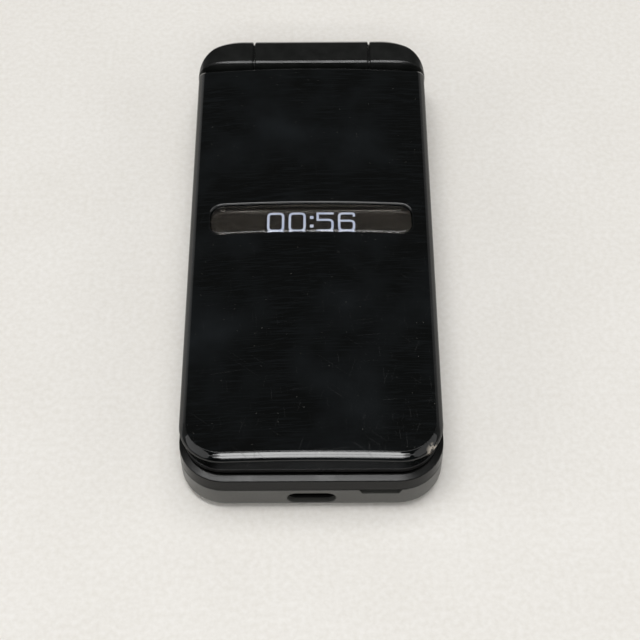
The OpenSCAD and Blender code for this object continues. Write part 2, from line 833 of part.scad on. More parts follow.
// Pieces inside the base
module base_chassis() {
    color(DARK_PLASTIC)
        difference() {
            union() {
                base_prism(chassis_inset, chassis_z0, board_z0);
                inner_prism(chassis_inset, board_z0 - EPS, deck_z0 - RUN_FIT);
            }
            inner_prism(chassis_inset + chassis_wall, board_z0, deck_z0);
            block([battery_w + 2 * SLIDE_FIT, battery_l + 2 * SLIDE_FIT, base_h],
                0, (battery_y0 + battery_y1) / 2, 0);
            block([CONTACT_COUNT * CONTACT_PITCH, 2 * CONTACT[1] + SLIDE_FIT, base_h], 0, battery_y1, 0);
            block([can_w + 2 * SLIDE_FIT, can_l + 2 * SLIDE_FIT, base_h], 0, can_y, board_z0 - can_h - FIT);
            block([speaker_w + 2 * SLIDE_FIT, speaker_l + 2 * SLIDE_FIT, speaker_t + FIT + OVER],
                SPEAKER_X, speaker_y, chassis_z0 - OVER);
            block([weight_x1 - MOTOR_X0 + 4 * SLIDE_FIT, 2 * motor_r + 2 * SLIDE_FIT, base_h],
                (weight_x1 + MOTOR_X0) / 2, motor_y, 0);
            block([socket_w + 2 * SLIDE_FIT, 2 * (socket_l + SOCKET_BACK), base_h],
                0, socket_y0, socket_z - socket_h / 2 - FIT);
            block([ANTENNA[0] + 2 * FIT, ANTENNA[1] + 2 * FIT, ANTENNA[2] + OVER],
                0, hinge_y - FIT, chassis_z0 - OVER);
            for (at = base_screws_at) {
                post(screw_head_r + FIT, chassis_z0 - OVER, chassis_z0 + FIT + screw_head_h, at);
                post(screw_r + FIT, chassis_z0, board_z0 + OVER, at);
                post(boss_r + FIT, board_z0, deck_z0 + OVER, at);
            }
        }
}

module board_holes() {
    for (at = base_screws_at)
        post(boss_r + SLIDE_FIT, 0, base_h, at);
}

module main_board() {
    color(BOARD_GREEN)
        difference() {
            inner_prism(board_inset, board_z0, sheet_z0);
            board_holes();
        }
}

module shield_can() {
    color(STEEL)
        difference() {
            block([can_w, can_l, can_h], 0, can_y, board_z0 - can_h);
            block([can_w - 2 * FIT, can_l - 2 * FIT, can_h], 0, can_y, board_z0 - can_h + FIT);
        }
}

module at_domes() {
    for (row = [0:ROW_COUNT - 1], column = [0:2])
        translate([key_x(column), key_y(row), 0])
            children();
    for (i = [0:len(SOFT_KEYS) - 1])
        translate([soft_place(i)[0], soft_place(i)[1], 0])
            children();
}

module dome_sheet() {
    color(STEEL)
        difference() {
            union() {
                inner_prism(board_inset + FIT, sheet_z0, sheet_z0 + sheet_t);
                at_domes()
                    post(dome_r, sheet_z0 + EPS, sheet_z0 + sheet_t + dome_h, [0, 0]);
                for (turn = [0:90:270])
                    post(NAV_DOME_R, sheet_z0 + EPS, sheet_z0 + sheet_t + dome_h,
                        [NAV_DOME_AT * cos(turn), nav_y + NAV_DOME_AT * sin(turn)]);
                post(dome_r, sheet_z0 + EPS, sheet_z0 + sheet_t + dome_h, [0, nav_y]);
            }
            board_holes();
            block([MIC[0] + 2 * FIT, MIC[1] + 2 * FIT, base_h], MIC_X, mic_y, 0);
        }
}

module key_mat() {
    color(RUBBER)
        difference() {
            inner_prism(board_inset + FIT, mat_z0, mat_z1);
            post(nav_mat_r, 0, base_h, [0, nav_y]);
            board_holes();
            block([MIC[0] + 2 * FIT, MIC[1] + 2 * FIT, base_h], MIC_X, mic_y, 0);
        }
}

module socket_outline(shrink) {
    half = socket_h / 2 - shrink;
    reach = socket_w / 2 - socket_h / 2;
    square([2 * reach, 2 * half], center = true);
    for (side = [-1, 1])
        translate([side * reach, 0])
            circle(r = half);
}

// Extrusion of the socket's outline from its mouth inwards
module socket_run(shrink, y0, y1) {
    translate([0, y1, socket_z])
        rotate([90, 0, 0])
            linear_extrude(y1 - y0)
                socket_outline(shrink);
}

module socket_shell() {
    color(STEEL)
        difference() {
            socket_run(0, socket_y0, socket_y0 + socket_l);
            socket_run(socket_sheet, socket_y0 - OVER, socket_y0 + socket_l - SOCKET_BACK);
        }
}

module socket_tongue() {
    tongue_l = socket_l - SOCKET_BACK - SOCKET_TONGUE_BACK;
    color(DARK_PLASTIC)
        block([SOCKET_TONGUE[0], tongue_l, SOCKET_TONGUE[1]],
            0, socket_y0 + SOCKET_TONGUE_BACK + tongue_l / 2, socket_z - SOCKET_TONGUE[1] / 2);
}

module battery_pack() {
    color(DARK_PLASTIC)
        block([battery_w, battery_l, battery_t], 0, (battery_y0 + battery_y1) / 2, chassis_z0 + BOARD_GAP);
}

module battery_contacts() {
    color(COPPER)
        for (i = [0:CONTACT_COUNT - 1])
            block(CONTACT, (i - (CONTACT_COUNT - 1) / 2) * CONTACT_PITCH,
                battery_y1 + CONTACT[1] / 2, board_z0 - CONTACT[2]);
}

module loudspeaker() {
    color(DARK_PLASTIC)
        block([speaker_w, speaker_l, speaker_t], SPEAKER_X, speaker_y, chassis_z0 + FIT);
}

module microphone() {
    color(STEEL)
        block(MIC, MIC_X, mic_y, sheet_z0);
}

module vibration_motor() {
    color(STEEL)
        union() {
            axle(motor_r, MOTOR_X0, motor_x1, motor_y, motor_z);
            axle(MOTOR_PIN_R, motor_x1 - EPS, weight_x1, motor_y, motor_z);
        }
}

// Half-round weight on the motor's pin
module motor_weight() {
    color(COPPER)
        difference() {
            union() {
                intersection() {
                    axle(weight_r, weight_x0, weight_x1, motor_y, motor_z);
                    block([body_w, body_w, weight_r], weight_x0, motor_y, motor_z - weight_r);
                }
                axle(weight_r / 2, weight_x0, weight_x1, motor_y, motor_z);
            }
            axle(MOTOR_PIN_R + RUN_FIT, weight_x0 - OVER, weight_x1 + OVER, motor_y, motor_z);
        }
}

module base_screws() {
    head_z = chassis_z0 + FIT;
    color(STEEL)
        for (at = base_screws_at)
            union() {
                post(screw_head_r, head_z, head_z + screw_head_h, at);
                post(screw_r, head_z + screw_head_h - EPS, board_z0 + SCREW_BITE, at);
            }
}

module antenna_plate() {
    color(COPPER)
        block(ANTENNA, 0, hinge_y - FIT, chassis_z0);
}

// Rear cover and what is fixed to it
module nail_slot() {
    slope = nail_h / 2;
    translate([nail_x, base_y0 + nail_d, cover_h])
        rotate([90, 0, 0])
            linear_extrude(nail_d + OVER)
                polygon([
                    [-nail_w / 2, OVER],
                    [-nail_w / 2, 0],
                    [-nail_w / 2 + slope, -nail_h],
                    [nail_w / 2 - slope, -nail_h],
                    [nail_w / 2, 0],
                    [nail_w / 2, OVER],
                ]);
}

module speaker_slots() {
    pitch = speaker_w / (grille_count + 1);
    for (i = [1:grille_count])
        pad(grille_w, grille_l, grille_w / 2 - EPS, -OVER, cover_floor + OVER,
            SPEAKER_X - speaker_w / 2 + i * pitch, speaker_y);
}

module rear_cover() {
    color(SATIN_GREY)
        difference() {
            hull() {
                base_prism(0, cover_h - EPS, cover_h, $fn = HULL_FN);
                for (turn = [0:FOOT_STEP:90])
                    base_prism(foot_r * (1 - sin(turn)), foot_r * (1 - cos(turn)),
                        foot_r * (1 - cos(turn)) + EPS, $fn = HULL_FN);
            }
            base_prism(case_wall, cover_floor, cover_h + OVER);
            socket_run(-SOCKET_MOUTH_GAP, base_y0 - OVER, base_y0 + 2 * case_wall);
            nail_slot();
            speaker_slots();
        }
}

module cover_seal() {
    seal_inset = chassis_inset + FIT;
    color(RUBBER)
        difference() {
            base_prism(seal_inset, cover_floor, chassis_z0);
            base_prism(seal_inset + seal_w, cover_floor - OVER, chassis_z0 + OVER);
        }
}

module speaker_mesh() {
    color(STEEL)
        block([speaker_w, speaker_l, MESH_T], SPEAKER_X, speaker_y, cover_floor);
}

// Keys
module key_cap(w, l, at) {
    color(KEY_GREY)
        union() {
            pad(w, l, key_corner_r, flange_z0, key_top_z, at[0], at[1]);
            pad(w + 2 * flange_lip, l + 2 * flange_lip, key_corner_r,
                flange_z0, flange_z0 + flange_t, at[0], at[1]);
        }
}

module nav_pad() {
    color(RUBBER)
        difference() {
            post(NAV_PAD_R, nav_pad_z0, nav_pad_z1, [0, nav_y]);
            post(nav_hole_r + SLIDE_FIT, 0, base_h, [0, nav_y]);
        }
}

module nav_ring() {
    color(KEY_GREY)
        difference() {
            union() {
                post(nav_r, nav_flange_z0, key_top_z, [0, nav_y]);
                post(nav_r + flange_lip, nav_flange_z0, nav_flange_z1, [0, nav_y]);
            }
            post(nav_hole_r, 0, base_h + OVER, [0, nav_y]);
        }
}

module nav_centre_key() {
    color(KEY_GREY)
        post(centre_r, sheet_z0 + sheet_t + dome_h + key_room, key_top_z, [0, nav_y]);
}

lid_outer_cover();
sub_display_window();
sub_display_panel();
lid_frame();
lid_inner_bezel();
main_display_glass();
main_display_panel();
earpiece_receiver();
earpiece_mesh();
lid_bumpers();
lid_magnet();
lid_circuit_board();
lid_screws();
hinge_cartridge();
hinge_spring();
hinge_flex();
base_upper_case();
base_chassis();
main_board();
shield_can();
dome_sheet();
key_mat();
socket_shell();
socket_tongue();
battery_pack();
battery_contacts();
loudspeaker();
microphone();
vibration_motor();
motor_weight();
hinge_shaft();
hinge_bush();
base_screws();
antenna_plate();
rear_cover();
cover_seal();
speaker_mesh();
nav_pad();
nav_ring();
nav_centre_key();
for (i = [0:len(SOFT_KEYS) - 1])
    key_cap(soft_w, soft_l, soft_place(i));
for (row = [0:ROW_COUNT - 1], column = [0:2])
    key_cap(key_w, key_l, [key_x(column), key_y(row)]);
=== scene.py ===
"""Looks of a closed clamshell keypad phone on a pale table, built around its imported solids."""
import math

import bmesh
import bpy
from mathutils import Matrix, Vector


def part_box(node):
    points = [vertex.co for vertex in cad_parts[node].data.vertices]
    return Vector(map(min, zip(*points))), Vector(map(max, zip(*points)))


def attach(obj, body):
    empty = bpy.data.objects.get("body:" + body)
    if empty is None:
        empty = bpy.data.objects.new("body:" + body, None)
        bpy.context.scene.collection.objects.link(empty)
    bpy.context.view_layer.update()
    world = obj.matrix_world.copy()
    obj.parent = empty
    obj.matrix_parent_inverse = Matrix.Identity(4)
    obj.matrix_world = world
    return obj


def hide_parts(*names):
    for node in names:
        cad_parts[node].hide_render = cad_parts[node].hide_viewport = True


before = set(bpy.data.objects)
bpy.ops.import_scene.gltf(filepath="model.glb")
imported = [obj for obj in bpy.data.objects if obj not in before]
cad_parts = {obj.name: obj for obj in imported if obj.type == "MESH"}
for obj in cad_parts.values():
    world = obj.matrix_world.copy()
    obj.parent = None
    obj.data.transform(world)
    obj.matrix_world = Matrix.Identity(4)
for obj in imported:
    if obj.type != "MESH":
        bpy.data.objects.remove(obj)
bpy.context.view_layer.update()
SCENE = bpy.context.scene
MM = 0.001

# Sizes in millimetres, those of the solids but for small relief along the edges
BASE_W, BASE_Y0, BASE_Y1 = 51.6, -57.0, 57.0
BASE_NEAR_R, BASE_FAR_R = 9.0, 7.5
COVER_H, COVER_FLOOR, CASE_WALL, FOOT_R = 7.0, 1.2, 1.2, 2.4
DECK_Z0, DECK_Z1, BASE_H = 8.6, 9.3, 9.8
RIM_W = 2.2
DECK_W, DECK_Y0, DECK_Y1, DECK_END_R = BASE_W - 2 * RIM_W, BASE_Y0 + RIM_W, 44.35, 1.5
HINGE_Y, HINGE_Z, HINGE_R = 51.9, 11.7, 5.1
TROUGH_R, TROUGH_WALL = 5.45, 0.8
KNUCKLE_END_R = 4.5
BARREL_X, KNUCKLE_X = 12.925, 13.275
FAR_WALL_DROP = 3.4
LID_W, LID_Y0, LID_Y1 = 50.9, -55.65, 46.2
LID_NEAR_R, LID_FAR_R = 8.5, 1.5
LID_Z0, SEAM_Z, CROWN_Z, CROWN_FALL = 10.1, 11.5, 17.4, 1.2
LID_WALL = 1.0
WINDOW_W, WINDOW_L, WINDOW_R, WINDOW_Y = 42.3, 7.6, 2.6, 2.2
WINDOW_Z0, WINDOW_Z1, WINDOW_SINK, WINDOW_LIP = 14.6, 15.3, 0.25, 0.9
SOCKET_Z, SOCKET_W, SOCKET_H, SOCKET_GAP = 3.74, 8.94, 3.26, 0.25
NAIL_X, NAIL_W, NAIL_H = 13.4, 8.6, 1.5
LEAST_R, HAIR, WELD = 0.3, 0.02, 0.0005
OVER = 2.0
# Points along a rounded plan's corners, ends and sides
CORNER_STEPS, END_SPANS, SIDE_POINTS, PAD_STEPS = 10, 8, 14, 6

NUMBER_KEYS = ["key_1", "key_2", "key_3", "key_4", "key_5", "key_6", "key_7", "key_8", "key_9",
               "key_star", "key_0", "key_hash"]
OTHER_KEYS = ["call_key", "clear_key", "end_key", "soft_key_a", "soft_key_b", "soft_key_c", "soft_key_d"]


def middle_of(node):
    """Middle of a node's box, in millimetres."""
    low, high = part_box(node)
    return (low + high) / 2 / MM


def size_of(node):
    """Width, length and height of a node's box, in millimetres."""
    low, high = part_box(node)
    return (high - low) / MM


# Shapes
def outline(w, y0, y1, near_r, far_r, x=0.0, steps=CORNER_STEPS, mid=END_SPANS, side=SIDE_POINTS):
    """Rounded plan, anticlockwise from the left end of the near edge, with the same count for any size."""
    def end(y, r, way):
        """One end from left to right."""
        left = [(-w / 2 + r - r * math.cos(a), y + way * (r - r * math.sin(a)))
                for a in (math.radians(90 * i / steps) for i in range(steps + 1))]
        reach = w - 2 * r
        flat = [(-reach / 2 + reach * i / (mid + 1), y) for i in range(1, mid + 1)]
        return left + flat + [(-px, py) for px, py in reversed(left)]

    near = end(y0, near_r, 1)
    far = end(y1, far_r, -1)
    right = [(w / 2, near[-1][1] + (far[-1][1] - near[-1][1]) * i / side) for i in range(1, side)]
    left = [(-px, py) for px, py in reversed(right)]
    return [(x + px, py) for px, py in near + right + far[::-1] + left]


def base_plan(inset, near_lean=0.0):
    """The base's plan drawn in by an inset, with its near end moved in further."""
    return outline(BASE_W - 2 * inset, BASE_Y0 + inset + near_lean, BASE_Y1 - inset,
                   max(BASE_NEAR_R - inset, LEAST_R), max(BASE_FAR_R - inset, LEAST_R))


def lid_plan(inset):
    """The lid's plan drawn in by an inset."""
    return outline(LID_W - 2 * inset, LID_Y0 + inset, LID_Y1 - inset,
                   max(LID_NEAR_R - inset, LEAST_R), max(LID_FAR_R - inset, LEAST_R))


def window_plan(grow):
    """The clock window's plan grown by a margin."""
    return outline(WINDOW_W + 2 * grow, WINDOW_Y - WINDOW_L / 2 - grow, WINDOW_Y + WINDOW_L / 2 + grow,
                   WINDOW_R + grow, WINDOW_R + grow)


def pad_plan(w, length, r, x, y):
    """Small rounded plan, for keys, slots and panels."""
    return outline(w, y - length / 2, y + length / 2, r, r, x, steps=PAD_STEPS, mid=0, side=1)


def crown(x):
    """Height of the lid's crowned top."""
    return CROWN_Z - CROWN_FALL * (2 * x / LID_W) ** 2


def crowned(plan, drop):
    """A plan's points, a drop below the crown."""
    return [(x, y, crown(x) - drop) for x, y in plan]


def lifted(plan, z):
    """A plan's points at one height."""
    return [(x, y, z) for x, y in plan]


def new_piece(name, points, faces):
    """A mesh object from points in millimetres, with its faces turned outwards."""
    mesh = bpy.data.meshes.new(name)
    mesh.from_pydata([Vector(p) * MM for p in points], [], faces)
    shell = bmesh.new()
    shell.from_mesh(mesh)
    bmesh.ops.recalc_face_normals(shell, faces=shell.faces)
    shell.to_mesh(mesh)
    shell.free()
    made = bpy.data.objects.new(name, mesh)
    SCENE.collection.objects.link(made)
    return made


def loft(name, rings, top=None):
    """Closed solid through rings of equal counts, capped flat, or with the grid of points in top."""
    count = len(rings[0])
    points = [p for ring in rings for p in ring]
    starts = range(0, count * (len(rings) - 1), count)
    faces = [(a + i, a + (i + 1) % count, a + count + (i + 1) % count, a + count + i)
             for a in starts for i in range(count)]
    faces.append(tuple(range(count)))
    last = (len(rings) - 1) * count
    if top is None:
        faces.append(tuple(range(last, last + count)))
    else:
        points, faces = top(points, faces, last)
    return new_piece(name, points, faces)


def stack(name, levels, plan=base_plan):
    """Solid from a plan at given insets and heights, from the bottom up."""
    return loft(name, [lifted(plan(inset), z) for inset, z in levels])


def joined(name, pieces):
    """One object from several."""
    points, faces = [], []
    for piece in pieces:
        start = len(points)
        points += [v.co / MM for v in piece.data.vertices]
        faces += [tuple(start + i for i in f.vertices) for f in piece.data.polygons]
        bpy.data.objects.remove(piece)
    mesh = bpy.data.meshes.new(name)
    mesh.from_pydata([p * MM for p in points], [], faces)
    made = bpy.data.objects.new(name, mesh)
    SCENE.collection.objects.link(made)
    return made


def settle(piece):
    """Puts the result of a piece's modifiers into its mesh."""
    graph = bpy.context.evaluated_depsgraph_get()
    mesh = bpy.data.meshes.new_from_object(piece.evaluated_get(graph))
    piece.modifiers.clear()
    piece.data = mesh


def carve(piece, tool, operation="DIFFERENCE"):
    """Cuts, adds or keeps what a second solid holds, and removes it."""
    cut = piece.modifiers.new("carve", "BOOLEAN")
    cut.operation = operation
    cut.object = tool
    cut.solver = "EXACT"
    settle(piece)
    bpy.data.objects.remove(tool)
    return piece


def smooth(piece, angle=32):
    """Smooth shading that keeps the edges sharper than the angle."""
    shell = bmesh.new()
    shell.from_mesh(piece.data)
    bmesh.ops.remove_doubles(shell, verts=shell.verts, dist=WELD * MM)
    bmesh.ops.dissolve_degenerate(shell, edges=shell.edges, dist=WELD * MM)
    shell.to_mesh(piece.data)
    shell.free()
    piece.data.polygons.foreach_set("use_smooth", [True] * len(piece.data.polygons))
    piece.data.set_sharp_from_angle(angle=math.radians(angle))
    even = piece.modifiers.new("even_shading", "WEIGHTED_NORMAL")
    even.keep_sharp = True
    return piece


def block(name, w, length, z0, z1, x, y):
    """Plain box, used only as a cutting tool."""
    plan = [(x - w / 2, y - length / 2), (x + w / 2, y - length / 2),
            (x + w / 2, y + length / 2), (x - w / 2, y + length / 2)]
    return loft(name, [lifted(plan, z) for z in (z0, z1)])


def soft_block(name, w, length, z0, z1, x, y, r, edge):
    """Block with rounded corners and a rounded upper and lower edge."""
    steps = [(edge * (1 - math.sin(a)), edge * (1 - math.cos(a)))
             for a in (math.radians(30 * i) for i in range(4))]
    levels = [(inset, z0 + rise) for inset, rise in steps]
    levels += [(inset, z1 - rise) for inset, rise in reversed(steps)]
    return loft(name, [lifted(pad_plan(w - 2 * inset, length - 2 * inset, max(r - inset, HAIR), x, y), z)
                       for inset, z in levels])


def turned(name, profile, centre, axis="z", sides=48):
    """Solid of revolution through (radius, along) points, about an upright axis or one along X."""
    rings = []
    for radius, along in profile:
        ring = []
        for i in range(sides):
            a = 2 * math.pi * i / sides
            u, v = radius * math.cos(a), radius * math.sin(a)
            ring.append((centre[0] + u, centre[1] + v, along) if axis == "z"
                        else (along, centre[0] + u, centre[1] + v))
        rings.append(ring)
    return loft(name, rings)


def rounded(path, r, closed=False, steps=4):
    """Path with its corners turned into arcs."""
    made = []
    count = len(path)
    for i, here in enumerate(path):
        here = Vector(here)
        if not closed and i in (0, count - 1):
            made.append(here)
            continue
        before = Vector(path[i - 1]) - here
        after = Vector(path[(i + 1) % count]) - here
        turn = before.angle(after)
        cut = min(r / math.tan(turn / 2), before.length / 2, after.length / 2)
        start = here + before.normalized() * cut
        stop = here + after.normalized() * cut
        for k in range(steps + 1):
            t = k / steps
            made.append((1 - t) ** 2 * start + 2 * t * (1 - t) * here + t ** 2 * stop)
    return made


def ribbon(path, width, z0, z1, closed=False):
    """Points and faces of a flat stroke of even width along a path."""
    count = len(path)
    points, faces = [], []
    for i, here in enumerate(path):
        before = path[i - 1] if closed or i > 0 else here
        after = path[(i + 1) % count] if closed or i < count - 1 else here
        into = (here - before).normalized() if here != before else (after - here).normalized()
        out = (after - here).normalized() if here != after else into
        along = (into + out).normalized()
        across = Vector((-along.y, along.x))
        reach = width / 2 / max(across.dot(Vector((-into.y, into.x))), 0.4)
        for way, z in ((1, z0), (1, z1), (-1, z1), (-1, z0)):
            edge = here + across * reach * way
            points.append((edge.x, edge.y, z))
    for i in range(count if closed else count - 1):
        a, b = 4 * i, 4 * ((i + 1) % count)
        faces += [(a + k, a + (k + 1) % 4, b + (k + 1) % 4, b + k) for k in range(4)]
    if not closed:
        faces += [(0, 1, 2, 3), (4 * count - 4, 4 * count - 3, 4 * count - 2, 4 * count - 1)]
    return points, faces


# Plain signs drawn as strokes in a box one wide and 1.6 high
SIGNS = {
    "0": [("closed", [(0, 0), (1, 0), (1, 1.6), (0, 1.6)])],
    "1": [("open", [(0.2, 1.25), (0.6, 1.6), (0.6, 0)])],
    "2": [("open", [(0, 1.6), (1, 1.6), (1, 0.85), (0, 0.75), (0, 0), (1, 0)])],
    "3": [("open", [(0, 1.6), (1, 1.6), (1, 0.8), (0.25, 0.8)]),
          ("open", [(0.5, 0.8), (1, 0.8), (1, 0), (0, 0)])],
    "4": [("open", [(0.1, 1.6), (0, 0.55), (1, 0.55)]), ("open", [(0.75, 1.1), (0.75, 0)])],
    "5": [("open", [(1.08, 1.6), (-0.08, 1.6)]), ("open", [(0, 1.6), (0, 0.95)]),
          ("open", [(-0.08, 0.98), (1, 0.98), (1, 0), (-0.08, 0)])],
    "6": [("open", [(1, 1.3), (1, 1.6), (0, 1.6), (0, 0), (1, 0), (1, 0.9), (0, 0.9)])],
    "7": [("open", [(0, 1.6), (1, 1.6), (0.4, 0)])],
    "8": [("closed", [(0, 0), (1, 0), (1, 1.6), (0, 1.6)]), ("open", [(0, 0.83), (1, 0.83)])],
    "9": [("open", [(1, 0.7), (0, 0.7), (0, 1.6), (1, 1.6), (1, 0), (0, 0), (0, 0.3)])],
    "star": [("open", [(0.5, 0.25), (0.5, 1.35)]), ("open", [(-0.02, 0.52), (1.02, 1.08)]),
             ("open", [(-0.02, 1.08), (1.02, 0.52)])],
    "hash": [("open", [(0.22, 0.1), (0.22, 1.5)]), ("open", [(0.78, 0.1), (0.78, 1.5)]),
             ("open", [(-0.15, 0.5), (1.15, 0.5)]), ("open", [(-0.15, 1.1), (1.15, 1.1)])],
    "handset": [("open", [(-0.5, 0.6), (-0.45, 1.1), (0.5, 1.35), (1.45, 1.1), (1.5, 0.6)])],
    "rest": [("open", [(-0.5, 1.1), (-0.45, 0.6), (0.5, 0.35), (1.45, 0.6), (1.5, 1.1)])],
    "back": [("open", [(1.3, 0.8), (-0.3, 0.8)]), ("open", [(0.2, 1.3), (-0.35, 0.8), (0.2, 0.3)])],
    "dash": [("open", [(-0.1, 0.8), (1.1, 0.8)])],
    "dot": [("closed", [(0.35, 0.65), (0.65, 0.65), (0.65, 0.95), (0.35, 0.95)])],
}


SIGN_H, SIGN_BEND, SIGN_LAYER = 1.6, 0.28, 0.006


def sign(name, key, wide, high, stroke, x, y, z0, z1):
    """A sign as a thin raised print on its box's middle. Crossing strokes lie a hair above one another."""
    points, faces = [], []
    for layer, (kind, path) in enumerate(SIGNS[key]):
        closed = kind == "closed"
        corners = [(x + (px - 0.5) * wide, y + (py / SIGN_H - 0.5) * high) for px, py in path]
        line = rounded(corners, SIGN_BEND * wide, closed)
        more, walls = ribbon(line, stroke, z0, z1 + SIGN_LAYER * layer, closed)
        faces += [tuple(len(points) + i for i in wall) for wall in walls]
        points += more
    return new_piece(name, points, faces)


# Materials
def linear(hex_code):
    """Linear colour from an sRGB hex value."""
    parts = [int(hex_code[i:i + 2], 16) / 255 for i in (1, 3, 5)]
    return [p / 12.92 if p <= 0.04045 else ((p + 0.055) / 1.055) ** 2.4 for p in parts] + [1.0]


def node(tree, kind, settings=None, links=None):
    """Adds a node with its settings and what it takes from others."""
    made = tree.nodes.new(kind)
    for name, value in (settings or {}).items():
        if isinstance(name, int) or name in made.inputs:
            made.inputs[name].default_value = value
        else:
            setattr(made, name, value)
    for name, source in (links or {}).items():
        tree.links.new(source, made.inputs[name])
    return made


def per_mm(size):
    """Pattern scale at which one cell measures size millimetres."""
    return 1 / (size * MM)


def finish_of(name, hex_code, rough, metal=0.0, ior=None):
    """A new finish: its material, node tree, shader and the place on the piece."""
    made = bpy.data.materials.new(name)
    made.use_nodes = True
    tree = made.node_tree
    shader = tree.nodes["Principled BSDF"]
    shader.inputs["Base Color"].default_value = linear(hex_code)
    shader.inputs["Roughness"].default_value = rough
    shader.inputs["Metallic"].default_value = metal
    if ior:
        shader.inputs["IOR"].default_value = ior
    place = node(tree, "ShaderNodeTexCoord").outputs["Object"]
    return made, tree, shader, place


def blotches(tree, place, size, low, high, detail=3.0):
    """Soft patches about size millimetres across, from 0 to 1 between two noise levels."""
    cloud = node(tree, "ShaderNodeTexNoise", {"Scale": per_mm(size), "Detail": detail}, {"Vector": place})
    return node(tree, "ShaderNodeMapRange", {"From Min": low, "From Max": high},
                {"Value": cloud.outputs["Fac"]}).outputs["Result"]


def specks(tree, place, pitch, radius, share):
    """Small round specks, one in a share of cells pitch millimetres wide."""
    cells = node(tree, "ShaderNodeTexVoronoi", {"Scale": per_mm(pitch)}, {"Vector": place})
    spot = node(tree, "ShaderNodeMath", {"operation": "LESS_THAN", 1: radius / pitch},
                {0: cells.outputs["Distance"]})
    pick = node(tree, "ShaderNodeSeparateColor", {}, {"Color": cells.outputs["Color"]})
    chosen = node(tree, "ShaderNodeMath", {"operation": "LESS_THAN", 1: share}, {0: pick.outputs["Red"]})
    return node(tree, "ShaderNodeMath", {"operation": "MULTIPLY"},
                {0: spot.outputs[0], 1: chosen.outputs[0]}).outputs[0]


def hairlines(tree, place, length, width, turn, level):
    """Fine straight scratches, turned about the upright axis, drawn wider than real so that they show."""
    stretch = node(tree, "ShaderNodeMapping",
                   {"vector_type": "TEXTURE", "Rotation": (0, 0, math.radians(turn)),
                    "Scale": (length * MM, width * MM, length * MM)}, {"Vector": place})
    lines = node(tree, "ShaderNodeTexNoise", {"Scale": 1.0, "Detail": 1.0}, {"Vector": stretch.outputs[0]})
    return node(tree, "ShaderNodeMapRange", {"From Min": level, "From Max": level + 0.04},
                {"Value": lines.outputs["Fac"]}).outputs["Result"]


def gathered(tree, masks, operation="MAXIMUM"):
    """Masks combined into one."""
    total = masks[0]
    for mask in masks[1:]:
        total = node(tree, "ShaderNodeMath", {"operation": operation}, {0: total, 1: mask}).outputs[0]
    return total


def scratched(tree, place, *lines):
    """Several runs of hairlines as one mask, each by its length, width, turn and level."""
    return gathered(tree, [hairlines(tree, place, *line) for line in lines])


WORN_SPOT, WORN_CORE, WORN_REACH = (23.4, -53.1, 14.9), 0.9, 1.9


def gloss_black_moulding():
    """Moulded black acrylic-faced ABS: a deep mirror gloss, dulled by hairlines, dust and handling haze."""
    made, tree, shader, place = finish_of("gloss_black_abs_moulding", "#050606", 0.05, ior=1.5)
    lines = scratched(tree, place, (14, 0.16, 8, 0.72), (9, 0.14, 72, 0.73), (18, 0.18, -38, 0.72),
                      (7, 0.12, 95, 0.73))
    haze = blotches(tree, place, 16, 0.45, 0.75, 4)
    dust = gathered(tree, [specks(tree, place, 1.4, 0.07, 0.14), specks(tree, place, 0.7, 0.05, 0.08)])
    # A worn spot at the right corner of the free end shows the paler core
    corner = node(tree, "ShaderNodeVectorMath",
                  {"operation": "DISTANCE", 1: [part * MM for part in WORN_SPOT]}, {0: place})
    near = node(tree, "ShaderNodeMapRange", {"From Min": WORN_REACH * MM, "From Max": WORN_CORE * MM},
                {"Value": corner.outputs["Value"]})
    grit = blotches(tree, place, 0.9, 0.44, 0.5, 5)
    chip = gathered(tree, [near.outputs["Result"], grit], "MULTIPLY")
    marks = gathered(tree, [dust, chip])
    rubs = scratched(tree, place, (9, 0.24, 0, 0.58), (5, 0.22, 6, 0.6))
    faint_rubs = node(tree, "ShaderNodeMath", {"operation": "MULTIPLY", 1: 0.45}, {0: rubs})
    worn = gathered(tree, [haze, faint_rubs.outputs[0]])
    film = node(tree, "ShaderNodeMix", {"data_type": "RGBA", 6: linear("#030404"), 7: linear("#131618")},
                {0: worn})
    dusty = node(tree, "ShaderNodeMix", {"data_type": "RGBA", 7: linear("#6d6c67")},
                 {0: dust, 6: film.outputs[2]})
    tint = node(tree, "ShaderNodeMix", {"data_type": "RGBA", 7: linear("#a59d92")},
                {0: chip, 6: dusty.outputs[2]})
    tree.links.new(tint.outputs[2], shader.inputs["Base Color"])
    faint_haze = node(tree, "ShaderNodeMath", {"operation": "MULTIPLY", 1: 0.3}, {0: haze})
    dull = gathered(tree, [faint_haze.outputs[0], lines, marks])
    rough = node(tree, "ShaderNodeMapRange", {"To Min": 0.05, "To Max": 0.22}, {"Value": dull})
    tree.links.new(rough.outputs["Result"], shader.inputs["Roughness"])
    return made


